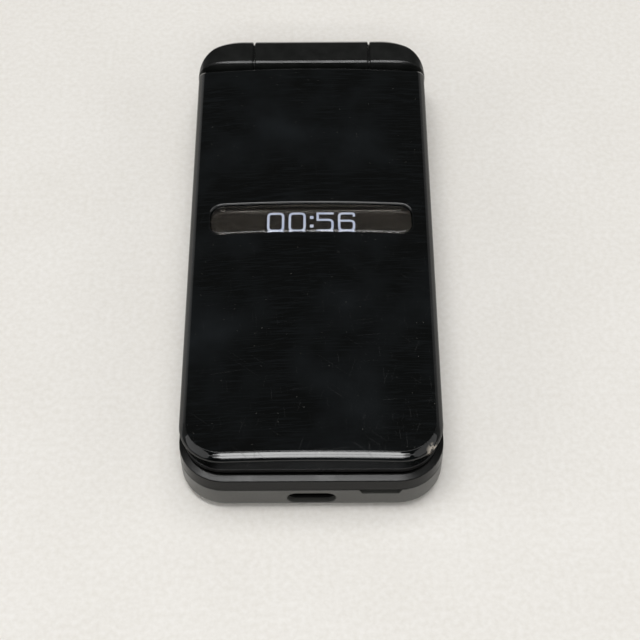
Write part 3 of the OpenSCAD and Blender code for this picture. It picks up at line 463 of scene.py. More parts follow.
def satin_moulding(name, hex_code, pale, rough, grain, gloss=0.5):
    """Moulded ABS with a fine eroded mould texture: a soft sheen broken by grain and rubbed patches.

    The grain is drawn coarser than the real one, about 0.05 mm, so that it shows.
    """
    made, tree, shader, place = finish_of(name, hex_code, rough, ior=1.5)
    shader.inputs["Specular IOR Level"].default_value = gloss
    texture = blotches(tree, place, grain, 0.3, 0.7, 2)
    rubbed = blotches(tree, place, 9, 0.5, 0.72, 4)
    lines = scratched(tree, place, (6, 0.15, 20, 0.69), (8, 0.15, -60, 0.7))
    tint = node(tree, "ShaderNodeMix", {"data_type": "RGBA", 6: linear(hex_code), 7: linear(pale)},
                {0: gathered(tree, [texture, lines])})
    tree.links.new(tint.outputs[2], shader.inputs["Base Color"])
    sheen = node(tree, "ShaderNodeMapRange", {"To Min": rough + 0.05, "To Max": rough - 0.08},
                 {"Value": rubbed})
    tree.links.new(sheen.outputs["Result"], shader.inputs["Roughness"])
    relief = node(tree, "ShaderNodeBump", {"Strength": 0.3, "Distance": 0.01 * MM}, {"Height": texture})
    tree.links.new(relief.outputs[0], shader.inputs["Normal"])
    return made


def smoked_acrylic():
    """Injection-moulded smoked acrylic: clear and glossy, with fine rub marks."""
    made, tree, shader, place = finish_of("smoked_acrylic_moulding", "#b9b4ae", 0.03, ior=1.49)
    shader.inputs["Transmission Weight"].default_value = 1.0
    lines = scratched(tree, place, (8, 0.14, 10, 0.69), (6, 0.14, 80, 0.7))
    rough = node(tree, "ShaderNodeMapRange", {"To Min": 0.02, "To Max": 0.2}, {"Value": lines})
    tree.links.new(rough.outputs["Result"], shader.inputs["Roughness"])
    return made


def lit_segments():
    """Lit display segments: an even cool white, a little uneven from the light guide behind."""
    made, tree, shader, place = finish_of("lit_display_segments", "#20222a", 0.4)
    glow = blotches(tree, place, 2.5, 0.2, 0.8)
    tint = node(tree, "ShaderNodeMix", {"data_type": "RGBA", 6: linear("#b2c2e6"), 7: linear("#d6e2f8")},
                {0: glow})
    tree.links.new(tint.outputs[2], shader.inputs["Emission Color"])
    shader.inputs["Emission Strength"].default_value = 1.75
    return made


def grained(name, hex_code, pale, rough, grain, depth, metal=0.0, ior=None, spread=0.07):
    """A finish whose tone, sheen and relief vary with one grain."""
    made, tree, shader, place = finish_of(name, hex_code, rough, metal, ior)
    texture = blotches(tree, place, grain, 0.3, 0.7, 4)
    tint = node(tree, "ShaderNodeMix", {"data_type": "RGBA", 6: linear(hex_code), 7: linear(pale)},
                {0: texture})
    tree.links.new(tint.outputs[2], shader.inputs["Base Color"])
    sheen = node(tree, "ShaderNodeMapRange", {"To Min": rough - spread, "To Max": rough + spread},
                 {"Value": texture})
    tree.links.new(sheen.outputs["Result"], shader.inputs["Roughness"])
    relief = node(tree, "ShaderNodeBump", {"Strength": 0.4, "Distance": depth * MM}, {"Height": texture})
    tree.links.new(relief.outputs[0], shader.inputs["Normal"])
    return made


def brushed(name, hex_code, pale, rough, along=(12, 0.2, 12)):
    """Rolled or drawn metal: fine straight lines that stretch the highlight."""
    made, tree, shader, place = finish_of(name, hex_code, rough, 1.0)
    stretch = node(tree, "ShaderNodeMapping", {"Scale": [per_mm(size) for size in along]}, {"Vector": place})
    lines = node(tree, "ShaderNodeTexNoise", {"Scale": 1.0, "Detail": 3.0}, {"Vector": stretch.outputs[0]})
    tint = node(tree, "ShaderNodeMix", {"data_type": "RGBA", 6: linear(hex_code), 7: linear(pale)},
                {0: lines.outputs["Fac"]})
    tree.links.new(tint.outputs[2], shader.inputs["Base Color"])
    sheen = node(tree, "ShaderNodeMapRange", {"To Min": rough - 0.08, "To Max": rough + 0.12},
                 {"Value": lines.outputs["Fac"]})
    tree.links.new(sheen.outputs["Result"], shader.inputs["Roughness"])
    return made


def perforated(name, hex_code, hole, pitch, radius):
    """Etched steel mesh: round holes in even rows, drawn coarser than the real ones so that they show. The
    holes are not cut; their dark inside is painted near black as painted shade.
    """
    made, tree, shader, place = finish_of(name, hex_code, 0.35, 1.0)
    cells = node(tree, "ShaderNodeTexVoronoi", {"Scale": per_mm(pitch), "Randomness": 0.0}, {"Vector": place})
    rim = radius / pitch
    # Painted shade: the holes are a near-black colour, not openings, with a bump at their rims
    painted_hole_shade = node(tree, "ShaderNodeMapRange", {"From Min": rim + 0.06, "From Max": rim - 0.06},
                     {"Value": cells.outputs["Distance"]})
    tint = node(tree, "ShaderNodeMix", {"data_type": "RGBA", 6: linear(hex_code), 7: linear(hole)},
                {0: painted_hole_shade.outputs["Result"]})
    tree.links.new(tint.outputs[2], shader.inputs["Base Color"])
    relief = node(tree, "ShaderNodeBump", {"Strength": 0.8, "Distance": 0.05 * MM, "invert": True},
                  {"Height": painted_hole_shade.outputs["Result"]})
    tree.links.new(relief.outputs[0], shader.inputs["Normal"])
    return made


def solder_resist():
    """Glass laminate under green solder resist: copper tracks show as slightly raised paler lines."""
    made, tree, shader, place = finish_of("glass_laminate_solder_resist", "#123d27", 0.3, ior=1.55)
    grid = node(tree, "ShaderNodeTexBrick",
                {"Scale": per_mm(2.4), "Mortar Size": 0.08, "Color1": linear("#123d27"),
                 "Color2": linear("#16472e"), "Mortar": linear("#2c6a45")}, {"Vector": place})
    tree.links.new(grid.outputs["Color"], shader.inputs["Base Color"])
    relief = node(tree, "ShaderNodeBump", {"Strength": 0.4, "Distance": 0.03 * MM},
                  {"Height": grid.outputs["Fac"]})
    tree.links.new(relief.outputs[0], shader.inputs["Normal"])
    return made


def speckled_laminate():
    """Pale table laminate: an off-white print with fine soft speckle."""
    made, tree, shader, place = finish_of("pale_table_laminate", "#e4e1db", 0.55, ior=1.5)
    fine = blotches(tree, place, 1.1, 0.3, 0.7, 3)
    wide = blotches(tree, place, 24, 0.3, 0.7, 2)
    spread = node(tree, "ShaderNodeMath", {"operation": "MULTIPLY_ADD", 1: 0.75, 2: 0.0}, {0: fine})
    both = node(tree, "ShaderNodeMath", {"operation": "MULTIPLY_ADD", 1: 0.25},
                {0: wide, 2: spread.outputs[0]})
    tint = node(tree, "ShaderNodeMix", {"data_type": "RGBA", 6: linear("#dfdbd4"), 7: linear("#eae7e2")},
                {0: both.outputs[0]})
    tree.links.new(tint.outputs[2], shader.inputs["Base Color"])
    relief = node(tree, "ShaderNodeBump", {"Strength": 0.06, "Distance": 0.04 * MM}, {"Height": fine})
    tree.links.new(relief.outputs[0], shader.inputs["Normal"])
    return made


GLOSS_BLACK = gloss_black_moulding()
# Eroded black moulding: dark, with a low sheen that draws a line along the rim
CASE_BLACK = satin_moulding("satin_black_abs_moulding", "#0d0d0c", "#131312", 0.2, 0.4, 0.26)
# Matt charcoal moulding: an even dark grey without a clear highlight
COVER_GREY = satin_moulding("fine_matt_charcoal_abs_moulding", "#434340", "#4b4b48", 0.34, 0.35)
# Painted die-cast alloy: an even satin black with a faint orange-peel
HINGE_PAINT = grained("satin_black_paint_on_alloy", "#0f100f", "#131413", 0.2, 2.5, 0.0003,
                      ior=1.5, spread=0.03)
SMOKED = smoked_acrylic()
LIT = lit_segments()
# Printed mask round the clock: a flat grey that the smoked window darkens
MASK_PRINT = grained("screen_printed_display_mask", "#555452", "#5d5c59", 0.5, 1.2, 0.004, ior=1.5)
# Moulded glass-filled ABS inside: dull black with flow marks
DARK_PLASTIC = grained("dark_glass_filled_abs", "#101010", "#171716", 0.5, 1.5, 0.02, ior=1.5)
# Eroded bezel moulding: black, with a soft sheen
BEZEL_BLACK = satin_moulding("satin_black_bezel_moulding", "#0f0f0f", "#151515", 0.26, 0.4)
# Cover glass over a dark panel: black and mirror smooth, with fingerprints
PANEL_GLASS = grained("dark_display_cover_glass", "#07080a", "#0b0c0f", 0.06, 9, 0.0002,
                      ior=1.52, spread=0.015)
# Textured polycarbonate caps: near black, and matt enough for the signs to stand out
KEY_PLASTIC = satin_moulding("satin_key_polycarbonate", "#1d1d1d", "#262626", 0.34, 0.3)
# Printed signs: a chalky ink in white, green and red
LEGEND_INK = grained("white_legend_ink", "#d8d8d4", "#e6e6e2", 0.55, 0.5, 0.003, ior=1.5)
CALL_INK = grained("green_legend_ink", "#3f9a55", "#52ad66", 0.55, 0.5, 0.003, ior=1.5)
END_INK = grained("red_legend_ink", "#b53a32", "#c54c42", 0.55, 0.5, 0.003, ior=1.5)
# Rolled steel sheet: pale grey with fine lines
STEEL = brushed("rolled_stainless_steel", "#9b9b98", "#b9b9b5", 0.34)
# Black nickel over steel: a dark shine with the sheet's lines in it
DARK_PLATE = brushed("black_nickel_plate", "#2b2b2b", "#383838", 0.34)
# Drawn wire: bright, with short flecks
SPRING_STEEL = brushed("drawn_spring_steel", "#8e8e8c", "#b4b4b0", 0.28, (0.3, 0.3, 0.3))
# Etched mesh: mid grey steel, its holes painted near black as painted shade
MESH_STEEL = perforated("etched_steel_mesh", "#5a5a58", "#050505", 0.5, 0.17)
# Gold flash over bronze strip: warm yellow, lined along the strip
CONTACT_GOLD = brushed("gold_flashed_contact_strip", "#c79a3e", "#dcb765", 0.25, (0.2, 6, 6))
# Sintered powder: dull grey with a fine tooth
TUNGSTEN = grained("sintered_tungsten", "#7d7c79", "#94938f", 0.45, 0.4, 0.01, 1.0)
# Etched polyimide flex: amber film with copper under it
FLEX_FILM = grained("polyimide_flex_film", "#a45a1c", "#b96d28", 0.3, 1.2, 0.004, ior=1.6)
# Rolled copper foil: warm, streaked along the roll
ANTENNA_FILM = brushed("copper_antenna_foil", "#b8743d", "#cf8f58", 0.3, (8, 0.4, 8))
# Moulded silicone: a dry black that hardly shines, or a milky grey where it has no colour
RUBBER = grained("moulded_silicone_rubber", "#202020", "#2b2b2b", 0.7, 0.6, 0.01, ior=1.43)
PALE_RUBBER = grained("translucent_silicone_mat", "#8e9190", "#a2a5a4", 0.55, 0.8, 0.01, ior=1.43)
# Printed polyester film: dark grey with a low even sheen
BATTERY_FILM = satin_moulding("printed_polyester_battery_film", "#3b3d40", "#45474a", 0.36, 0.6)
BOARD = solder_resist()
# Stamped foil: pale and flecked
DOME_FOIL = brushed("stamped_dome_foil", "#b0b0ac", "#c8c8c4", 0.26, (0.5, 0.5, 0.5))


# Lid
def edge_profile():
    """Insets and drops of the lid's edge from its top down: a bevel of two flats and a turn to the wall."""
    tilts = [(4, 0.04), (16, 0.03), (28, 0.03), (37.4, 0.38), (38.2, 0.32), (40, 0.05), (41.8, 0.3),
             (42.6, 0.32), (47, 0.02), (51, 0.15), (55, 0.12), (59, 0.12), (62, 0.1), (70, 0.03),
             (80, 0.03), (88, 0.05)]
    points = [(0.0, 0.0)]
    for tilt, run in tilts:
        a = math.radians(tilt)
        points.append((points[-1][0] + run * math.cos(a), points[-1][1] + run * math.sin(a)))
    reach = points[-1][0]
    return [(reach - out, drop) for out, drop in points]


EDGE_PROFILE = edge_profile()
END_POINTS = 2 * (CORNER_STEPS + 1) + END_SPANS
SEAM_LIP = 0.08
# The wall leans in more below the bevel than lower down
UPPER_TAPER, UPPER_WALL, LID_TAPER = 0.36, 1.6, 0.7


def crowned_top(drop):
    """Fills a lid ring with a grid that follows the crown."""
    def fill(points, faces, last):
        """Rows of faces from the near end to the far end, inside the ring that starts at last."""
        near = [last + i for i in range(END_POINTS)]
        right = [last + END_POINTS + i for i in range(SIDE_POINTS - 1)]
        far = [last + 2 * END_POINTS + SIDE_POINTS - 2 - i for i in range(END_POINTS)]
        left = [last + 2 * END_POINTS + 2 * SIDE_POINTS - 3 - i for i in range(SIDE_POINTS - 1)]
        rows = [near]
        for k in range(1, SIDE_POINTS):
            row = [left[k - 1]]
            for i in range(1, END_POINTS - 1):
                a, b = Vector(points[near[i]]), Vector(points[far[i]])
                spot = a.lerp(b, k / SIDE_POINTS)
                row.append(len(points))
                points.append((spot.x, spot.y, crown(spot.x) - drop))
            row.append(right[k - 1])
            rows.append(row)
        rows.append(far)
        for low, high in zip(rows, rows[1:]):
            faces += [(low[i], low[i + 1], high[i + 1], high[i]) for i in range(END_POINTS - 1)]
        return points, faces

    return fill


def lid_form(name, inset, z0, lip):
    """The lid's outer or inner form: leaning wall, bevel and crowned top."""
    rings = [lifted(lid_plan(inset + lip + LID_TAPER), z0),
             lifted(lid_plan(inset + LID_TAPER), z0 + SEAM_LIP),
             crowned(lid_plan(inset + UPPER_TAPER), inset + EDGE_PROFILE[-1][1] + UPPER_WALL)]
    rings += [crowned(lid_plan(inset + edge), inset + drop) for edge, drop in reversed(EDGE_PROFILE)]
    return loft(name, rings, crowned_top(inset))


WINDOW_FLARE, WELL_MARGIN = 0.5, 1.5
WINDOW_EDGE = [(-0.1, 0.25), (-0.13, 0.17), (-0.2, 0.11), (-0.32, 0.06), (-0.5, 0.02), (-0.75, 0)]
WEB_W, WEB_Y0, WEB_Z0, WEB_GAP, WEB_NOTCH_L = 24.45, 41.85, 11.6, 0.2, 6
PLATE_INSET, PLATE_Z0, PLATE_Z1 = 1.2, 13.1, 13.9


def window_tool(name):
    """Cutter for the window: an upright well with a flared mouth that follows the crown."""
    rings = [lifted(window_plan(0), SEAM_Z + 1)]
    for a in (math.radians(turn) for turn in range(0, 91, 15)):
        rings.append(crowned(window_plan(WINDOW_FLARE * (1 - math.cos(a))), WINDOW_FLARE * (1 - math.sin(a))))
    rings.append(lifted(window_plan(WINDOW_FLARE + HAIR), CROWN_Z + OVER))
    return loft(name, rings)


def make_lid_cover():
    """Hollow outer shell of the lid, with the window's opening and a notch for the frame's web."""
    cover = lid_form("lid_cover", 0, SEAM_Z, SEAM_LIP)
    hollow = lid_form("lid_hollow", LID_WALL, SEAM_Z - OVER, 0)
    well = [(WELL_MARGIN, WINDOW_Z1), (WELL_MARGIN, CROWN_Z + OVER)]
    carve(hollow, stack("window_well", well, window_plan))
    carve(cover, hollow)
    carve(cover, window_tool("window_hole"))
    carve(cover, block("web_notch", WEB_W + 2 * WEB_GAP, WEB_NOTCH_L, SEAM_Z - OVER, PLATE_Z1 + WEB_GAP,
                       0, LID_Y1))
    return cover


def make_window():
    """Window with a lip under the cover and a softly broken edge, sunk a little below the crown."""
    foot = ((WINDOW_LIP, WINDOW_Z0), (WINDOW_LIP, WINDOW_Z1), (WINDOW_EDGE[0][0], WINDOW_Z1))
    rings = [lifted(window_plan(grow), z) for grow, z in foot]
    rings += [crowned(window_plan(grow), WINDOW_SINK + fall) for grow, fall in WINDOW_EDGE]
    return loft("clock_window", rings, crowned_top(WINDOW_SINK))


PANEL_W, PANEL_L, PANEL_Z0, PANEL_TOP, PANEL_R, PANEL_EDGE = 42.4, 8.0, 13.9, 14.5, 0.4, 0.05
PRINT_FOOT, PRINT_TOP = PANEL_TOP + 0.005, PANEL_TOP + 0.035
CLOCK_W, CLOCK_H, CLOCK_STROKE = 3.1, 4.45, 0.5
CLOCK_Y = 2.31
CLOCK_PLACES = [("0", -7.45), ("0", -2.95), ("5", 2.9), ("6", 7.4)]
COLON_X, COLON_RISE, COLON_SIZE, COLON_R = 0.1, 1.15, 0.75, 0.12


def make_clock():
    """The lit clock: four plain digits and a colon, a print's thickness above the panel."""
    strokes = [sign("digit", key, CLOCK_W, CLOCK_H, CLOCK_STROKE, x, CLOCK_Y, PRINT_FOOT, PRINT_TOP)
               for key, x in CLOCK_PLACES]
    for way in (-1, 1):
        dot = pad_plan(COLON_SIZE, COLON_SIZE, COLON_R, COLON_X, CLOCK_Y + way * COLON_RISE)
        strokes.append(loft("colon", [lifted(dot, z) for z in (PRINT_FOOT, PRINT_TOP)]))
    return joined("clock_digits", strokes)


FLAT_TILT, BEVEL_TILT, BEVEL_W = 35.0, 45.3, 0.46
EASE_TILT, EASE_W = 8, 0.03
# Broken edges at the ends of the hinge's pieces: how far along, and how much smaller
END_BREAK = [(0.0, 0.955), (0.12, 0.985), (0.28, 1.0)]
CARTRIDGE_BORE_R, CARTRIDGE_X0 = 3.18, -3.275
BUSH_BORE_R, BUSH_X1 = 2.55, -7.7
FLEX_BORE_R, BORE_END = 1.8, 20


def hinge_section():
    """Section of the hinge from its front foot over the top: a flat and a narrow bevel inside the circle."""
    def rim(tilt):
        """Point on the hinge's circle, by its tilt from upright."""
        return -HINGE_R * math.sin(math.radians(tilt)), HINGE_R * math.cos(math.radians(tilt))

    top = rim(FLAT_TILT)
    slope = math.radians(BEVEL_TILT)
    foot = (top[0] - BEVEL_W * math.cos(slope), top[1] - BEVEL_W * math.sin(slope))
    turn = math.radians(BEVEL_TILT + EASE_TILT)
    face = (foot[0] - EASE_W * math.cos(turn), foot[1] - EASE_W * math.sin(turn))
    front = [rim(tilt) for tilt in (90, 88, 86, 84)]
    back = [rim(tilt) for tilt in (-28, -30, -32, -36, -42, -50, -58, -66, -74, -82, -90)]
    return front + [face, foot, top] + back


def hinge_round():
    """The hinge's whole section, with its round underside."""
    return hinge_section() + [(HINGE_R * math.cos(math.radians(a)), -HINGE_R * math.sin(math.radians(a)))
                              for a in range(8, 180, 8)]


def on_hinge_axis(name, radius, x0, x1, sides=48):
    """Plain rod along the hinge's axis, used for cutting and building up."""
    return turned(name, [(radius, x0), (radius, x1)], (HINGE_Y, HINGE_Z), "x", sides)


def make_barrel():
    """Frame plate, web and hinge barrel in one casting."""
    stations = [(-BARREL_X + along, shrink) for along, shrink in END_BREAK]
    stations += [(BARREL_X - along, shrink) for along, shrink in reversed(END_BREAK)]
    barrel = loft("hinge_barrel", [[(x, HINGE_Y + y * shrink, HINGE_Z + z * shrink) for y, z in hinge_round()]
                                   for x, shrink in stations])
    carve(barrel, block("web", WEB_W, HINGE_Y - WEB_Y0, WEB_Z0, PLATE_Z1, 0, (HINGE_Y + WEB_Y0) / 2), "UNION")
    carve(barrel, stack("plate", [(PLATE_INSET, PLATE_Z0), (PLATE_INSET, PLATE_Z1)], lid_plan), "UNION")
    for radius, x0, x1 in ((CARTRIDGE_BORE_R, CARTRIDGE_X0, BORE_END), (BUSH_BORE_R, -BORE_END, BUSH_X1),
                           (FLEX_BORE_R, -BORE_END, 0)):
        carve(barrel, on_hinge_axis("bore", radius, x0, x1))
    return barrel


# Inner face of the lid
GLASS_Y = middle_of("main_display_glass").y
GLASS_W, GLASS_L = size_of("main_display_glass").x, size_of("main_display_glass").y
BUMPER_R = 1.7
BUMPER_X, BUMPER_Y = size_of("lid_bumpers").x / 2 - BUMPER_R, size_of("lid_bumpers").y / 2 - BUMPER_R
SCREW_PLACES = [(sx * BUMPER_X, middle_of("lid_bumpers").y + sy * BUMPER_Y)
                for sx in (-1, 1) for sy in (-1, 1)]
BUMPER_PROFILE = [(1.15, 9.4), (1.45, 9.44), (1.62, 9.55), (BUMPER_R, 9.75), (BUMPER_R, 10.6)]
SEAT_R, SEAT_D, SCREW_R, SCREW_D = 1.73, 0.5, 1.25, 1.1
GLASS_Z0, GLASS_Z1, GLASS_R, GLASS_EDGE, GLASS_LEDGE = 10.2, 11.0, 1.5, 0.12, 2.4
EAR_Y = -50.2
EAR_CUTS = [(9, 1.4, SEAM_Z + OVER), (10, 2.4, LID_Z0 + 0.3)]
BEZEL_EDGE = [(0.3, LID_Z0), (0.16, LID_Z0 + 0.06), (0.06, LID_Z0 + 0.18), (0, LID_Z0 + 0.4),
              (0, SEAM_Z - 0.06), (0.06, SEAM_Z)]
RECESS_EDGE = [(0.5, LID_Z0 - 0.2), (0.1, LID_Z0 + 0.2), (0.1, LID_Z0 + 0.9)]


def make_bezel():
    """Inner face of the lid, with a recess for the glass, seats for the bumpers and the earpiece slot."""
    bezel = stack("lid_bezel", [(LID_TAPER + inset, z) for inset, z in BEZEL_EDGE], lid_plan)
    recess = [lifted(pad_plan(GLASS_W + 2 * g, GLASS_L + 2 * g, GLASS_R + g, 0, GLASS_Y), z)
              for g, z in RECESS_EDGE]
    carve(bezel, loft("recess", recess))
    opening = pad_plan(GLASS_W - GLASS_LEDGE, GLASS_L - GLASS_LEDGE, GLASS_R, 0, GLASS_Y)
    carve(bezel, loft("opening", [lifted(opening, z) for z in (LID_Z0, SEAM_Z + OVER)]))
    for w, length, z1 in EAR_CUTS:
        slot = pad_plan(w, length, (length - HAIR) / 2, 0, EAR_Y)
        carve(bezel, loft("ear", [lifted(slot, z) for z in (LID_Z0 - OVER, z1)]))
    for at in SCREW_PLACES:
        carve(bezel, turned("seat", [(SEAT_R, LID_Z0 - OVER), (SEAT_R, LID_Z0 + SEAT_D)], at))
        carve(bezel, turned("seat", [(SCREW_R, LID_Z0), (SCREW_R, LID_Z0 + SCREW_D)], at))
    return bezel


def make_bumpers():
    """Four rubber pads with softly domed faces."""
    return joined("lid_bumper_pads", [turned("bumper", BUMPER_PROFILE, at, sides=32) for at in SCREW_PLACES])


def make_display():
    """Cover glass of the main display."""
    return soft_block("display_glass", GLASS_W, GLASS_L, GLASS_Z0, GLASS_Z1, 0, GLASS_Y, GLASS_R, GLASS_EDGE)


# Base
KNUCKLE_FOOT, KNUCKLE_BEND, KNUCKLE_FALL, KNUCKLE_FULL_X = COVER_H + 0.16, 2 * HINGE_R - 0.1, 0.9, 14.6


def knuckle(name, side):
    """Knuckle on one side: the hinge's section carried outwards and rounded off into the plan's corner."""
    foot = [(-HINGE_R, KNUCKLE_FOOT - HINGE_Z)] + hinge_section() + [(HINGE_R, KNUCKLE_FOOT - HINGE_Z)]
    front = HINGE_Y - HINGE_R
    corner_x = BASE_W / 2 - KNUCKLE_BEND
    breaks = {KNUCKLE_X + along: shrink for along, shrink in END_BREAK}
    stations = list(breaks) + [KNUCKLE_FULL_X]
    stations += [corner_x + KNUCKLE_BEND * math.sin(math.radians(a)) for a in range(0, 91, 5)]
    rings = []
    for x in sorted(set(stations)):
        far = BASE_Y1 - KNUCKLE_BEND + math.sqrt(max(KNUCKLE_BEND ** 2 - max(x - corner_x, 0) ** 2, 0))
        squeeze = (far - front) / (2 * HINGE_R)
        chamfer = breaks.get(x, 1.0)
        fall = max(x - (BASE_W / 2 - KNUCKLE_END_R), 0) / KNUCKLE_END_R
        height = 1 - KNUCKLE_FALL * (1 - math.sqrt(max(1 - fall ** 2, 0)))
        ring = []
        for y, z in foot:
            lift = z * (chamfer * height if z > 0 else 1.0)
            ring.append((side * x, front + (y * chamfer + HINGE_R) * squeeze, HINGE_Z + lift))
        rings.append(ring)
    return loft(name, rings)


# The near wall leans in towards the rim
NEAR_LEAN = 0.4
RIM_PROFILE = [(0.45, 0, COVER_H), (0.06, 0, COVER_H + 0.05), (0, 0, COVER_H + 0.14)]
RIM_PROFILE += [(inset, NEAR_LEAN, BASE_H + rise) for inset, rise in (
    (0, -0.4), (0.02, -0.33), (0.08, -0.25), (0.16, -0.2), (1.25, 0.13), (1.5, 0.13))]
DECK_EDGE = [(0, DECK_Z1), (0, BASE_H - 0.15), (0.2, BASE_H + 0.05), (0.2, BASE_H + OVER)]
TROUGH_LAP, TROUGH_SIDES, INNER_GAP, INNER_Z0 = 0.2, 72, 0.15, 2
FAR_GAP_L, FAR_GAP_Z1 = 20, 30
THRUST_SHRINK, THRUST_PROUD, THRUST_ROOT = 0.88, 0.27, 0.5
SHAFT_BORE_D = 4
HOLE_BREAK, ROUND_BREAK = 0.12, 0.1
NAV_HOLE_R = 10.7
MIC_R, MIC_X, MIC_Y = 0.5, -8.0, -50.2
KEY_FLANGE, KEY_GAP, KEY_R, KEY_LEAST_R, KEY_TOP = 0.45, 0.2, 1.6, 0.5, 9.55
KEY_LEVELS = [(-KEY_FLANGE, 7.95), (-KEY_FLANGE, 8.45), (0, 8.45), (0, 9.2), (0.06, 9.34), (0.2, 9.45),
              (0.5, 9.51), (1.2, KEY_TOP)]


def hole_tool(plan_at):
    """Cutter for an opening in the deck, flared to break its edge."""
    levels = ((0, DECK_Z0 - 1), (0, DECK_Z1 - HOLE_BREAK), (HOLE_BREAK, DECK_Z1), (HOLE_BREAK, BASE_H + OVER))
    return stack("hole", levels, plan_at)


def deck_plan(grow):
    """The sunk key deck's plan."""
    return outline(DECK_W + 2 * grow, DECK_Y0 - grow, DECK_Y1 + grow,
                   BASE_NEAR_R - RIM_W + grow, DECK_END_R + grow)


def make_upper_case():
    """Upper case with the rim, key deck, knuckles and the trough under the hinge barrel."""
    case = loft("upper_case", [lifted(base_plan(inset, lean), z) for inset, lean, z in RIM_PROFILE])
    carve(case, stack("case_hollow", [(CASE_WALL, COVER_H - OVER), (CASE_WALL, DECK_Z0)]))
    carve(case, stack("deck", DECK_EDGE, deck_plan))
    for side in (-1, 1):
        carve(case, knuckle("knuckle", side), "UNION")
    reach = KNUCKLE_X + TROUGH_LAP
    wall = on_hinge_axis("trough", TROUGH_R + TROUGH_WALL, -reach, reach, TROUGH_SIDES)
    inner = CASE_WALL + INNER_GAP
    carve(wall, stack("inside", [(inner, INNER_Z0), (inner, DECK_Z1)]), "INTERSECT")
    carve(case, wall, "UNION")
    carve(case, on_hinge_axis("sweep", TROUGH_R, -KNUCKLE_X, KNUCKLE_X, TROUGH_SIDES))
    carve(case, block("far_gap", 2 * KNUCKLE_X, FAR_GAP_L, HINGE_Z - FAR_WALL_DROP, FAR_GAP_Z1, 0,
                      HINGE_Y + FAR_GAP_L / 2))
    face = [(HINGE_Y + THRUST_SHRINK * y, HINGE_Z + THRUST_SHRINK * z) for y, z in hinge_round()]
    ends = (KNUCKLE_X - THRUST_PROUD, KNUCKLE_X + THRUST_ROOT)
    for side in (-1, 1):
        boss = loft("thrust_face", [[(side * x, y, z) for y, z in face] for x in ends])
        carve(case, boss, "UNION")
    carve(case, on_hinge_axis("shaft_bore", BUSH_BORE_R, -KNUCKLE_X - SHAFT_BORE_D, KNUCKLE_X + SHAFT_BORE_D))
    for name in NUMBER_KEYS + OTHER_KEYS:
        at, size = middle_of(name), size_of(name)
        w, length = size.x - 2 * KEY_FLANGE + 2 * KEY_GAP, size.y - 2 * KEY_FLANGE + 2 * KEY_GAP
        carve(case, hole_tool(lambda grow: pad_plan(w + 2 * grow, length + 2 * grow, KEY_R + KEY_GAP + grow,
                                                    at.x, at.y)))
    ring = middle_of("nav_ring")
    for radius, x, y in ((NAV_HOLE_R, ring.x, ring.y), (MIC_R, MIC_X, MIC_Y)):
        mouth = radius + ROUND_BREAK
        levels = [(radius, DECK_Z0 - 1), (radius, DECK_Z1 - ROUND_BREAK),
                  (mouth, DECK_Z1), (mouth, BASE_H + OVER)]
        carve(case, turned("round_hole", levels, (x, y), sides=64))
    return case


def socket_plan(grow):
    """The socket's long round outline, across and up."""
    half = SOCKET_H / 2 + grow
    reach = (SOCKET_W - SOCKET_H) / 2
    right = [(reach + half * math.cos(a), half * math.sin(a))
             for a in (math.radians(turn) for turn in range(-90, 91, 9))]
    return right + [(-x, -z) for x, z in right]


COVER_GROOVE = [(0, COVER_H - 0.32), (0.03, COVER_H - 0.26), (0.12, COVER_H - 0.22), (0.2, COVER_H - 0.5),
                (0.4, COVER_H - 0.5), (0.45, COVER_H)]
MOUTH_EDGE = [(0.2, -0.1), (0.05, 0.1), (0, 0.2), (0, 2 * CASE_WALL)]
SLOT_COUNT, SLOT_PITCH, SLOT_W, SLOT_L = 5, 2.5, 0.9, 7
SLOT_EDGE = [(0.15, -0.1), (0, 0.15), (0, COVER_FLOOR + 1)]


def make_rear_cover():
    """Rear cover: rounded foot, charging opening, fingernail slot and loudspeaker slots."""
    foot = [(FOOT_R * (1 - math.sin(a)), FOOT_R * (1 - math.cos(a)))
            for a in (math.radians(7.5 * i) for i in range(13))]
    cover = stack("rear_shell", foot + COVER_GROOVE)
    carve(cover, stack("cover_hollow", [(CASE_WALL, COVER_FLOOR), (CASE_WALL, COVER_H + OVER)]))
    carve(cover, loft("mouth", [[(x, BASE_Y0 + y, SOCKET_Z + z) for x, z in socket_plan(SOCKET_GAP + grow)]
                                for grow, y in MOUTH_EDGE]))
    half, slope = NAIL_W / 2, NAIL_H / 2
    nail = [(-half, COVER_H + 1), (-half, COVER_H), (-half + slope, COVER_H - NAIL_H),
            (half - slope, COVER_H - NAIL_H), (half, COVER_H), (half, COVER_H + 1)]
    carve(cover, loft("nail", [[(NAIL_X + x, y, z) for x, z in nail]
                               for y in (BASE_Y0 - 1, BASE_Y0 + 2 * CASE_WALL)]))
    speaker = middle_of("loudspeaker")
    for i in range(SLOT_COUNT):
        x = speaker.x + SLOT_PITCH * (i - (SLOT_COUNT - 1) / 2)
        carve(cover, loft("slot", [lifted(pad_plan(SLOT_W + 2 * g, SLOT_L + 2 * g, (SLOT_W - HAIR) / 2 + g,
                                                   x, speaker.y), z) for g, z in SLOT_EDGE]))
    return cover


# Keys
def make_key(node_name):
    """Key cap: flange, upright sides and a softly pillowed top."""
    at, size = middle_of(node_name), size_of(node_name)
    w, length = size.x - 2 * KEY_FLANGE, size.y - 2 * KEY_FLANGE
    return loft(node_name + "_cap", [lifted(pad_plan(w - 2 * g, length - 2 * g, max(KEY_R - g, KEY_LEAST_R),
                                                     at.x, at.y), z) for g, z in KEY_LEVELS])


NAV_SIDES = 96
NAV_PROFILE = [(4.4, 7.7), (10.95, 7.7), (10.95, 8.1), (10.5, 8.1), (10.5, 9.25), (10.42, 9.4), (10.2, 9.5),
               (9.6, KEY_TOP), (6.0, 9.48), (4.9, 9.4), (4.55, 9.3), (4.4, 9.12)]
CENTRE_PROFILE = [(4.1, 9.2), (4.02, 9.36), (3.8, 9.46), (3.2, 9.52), (1.2, KEY_TOP)]


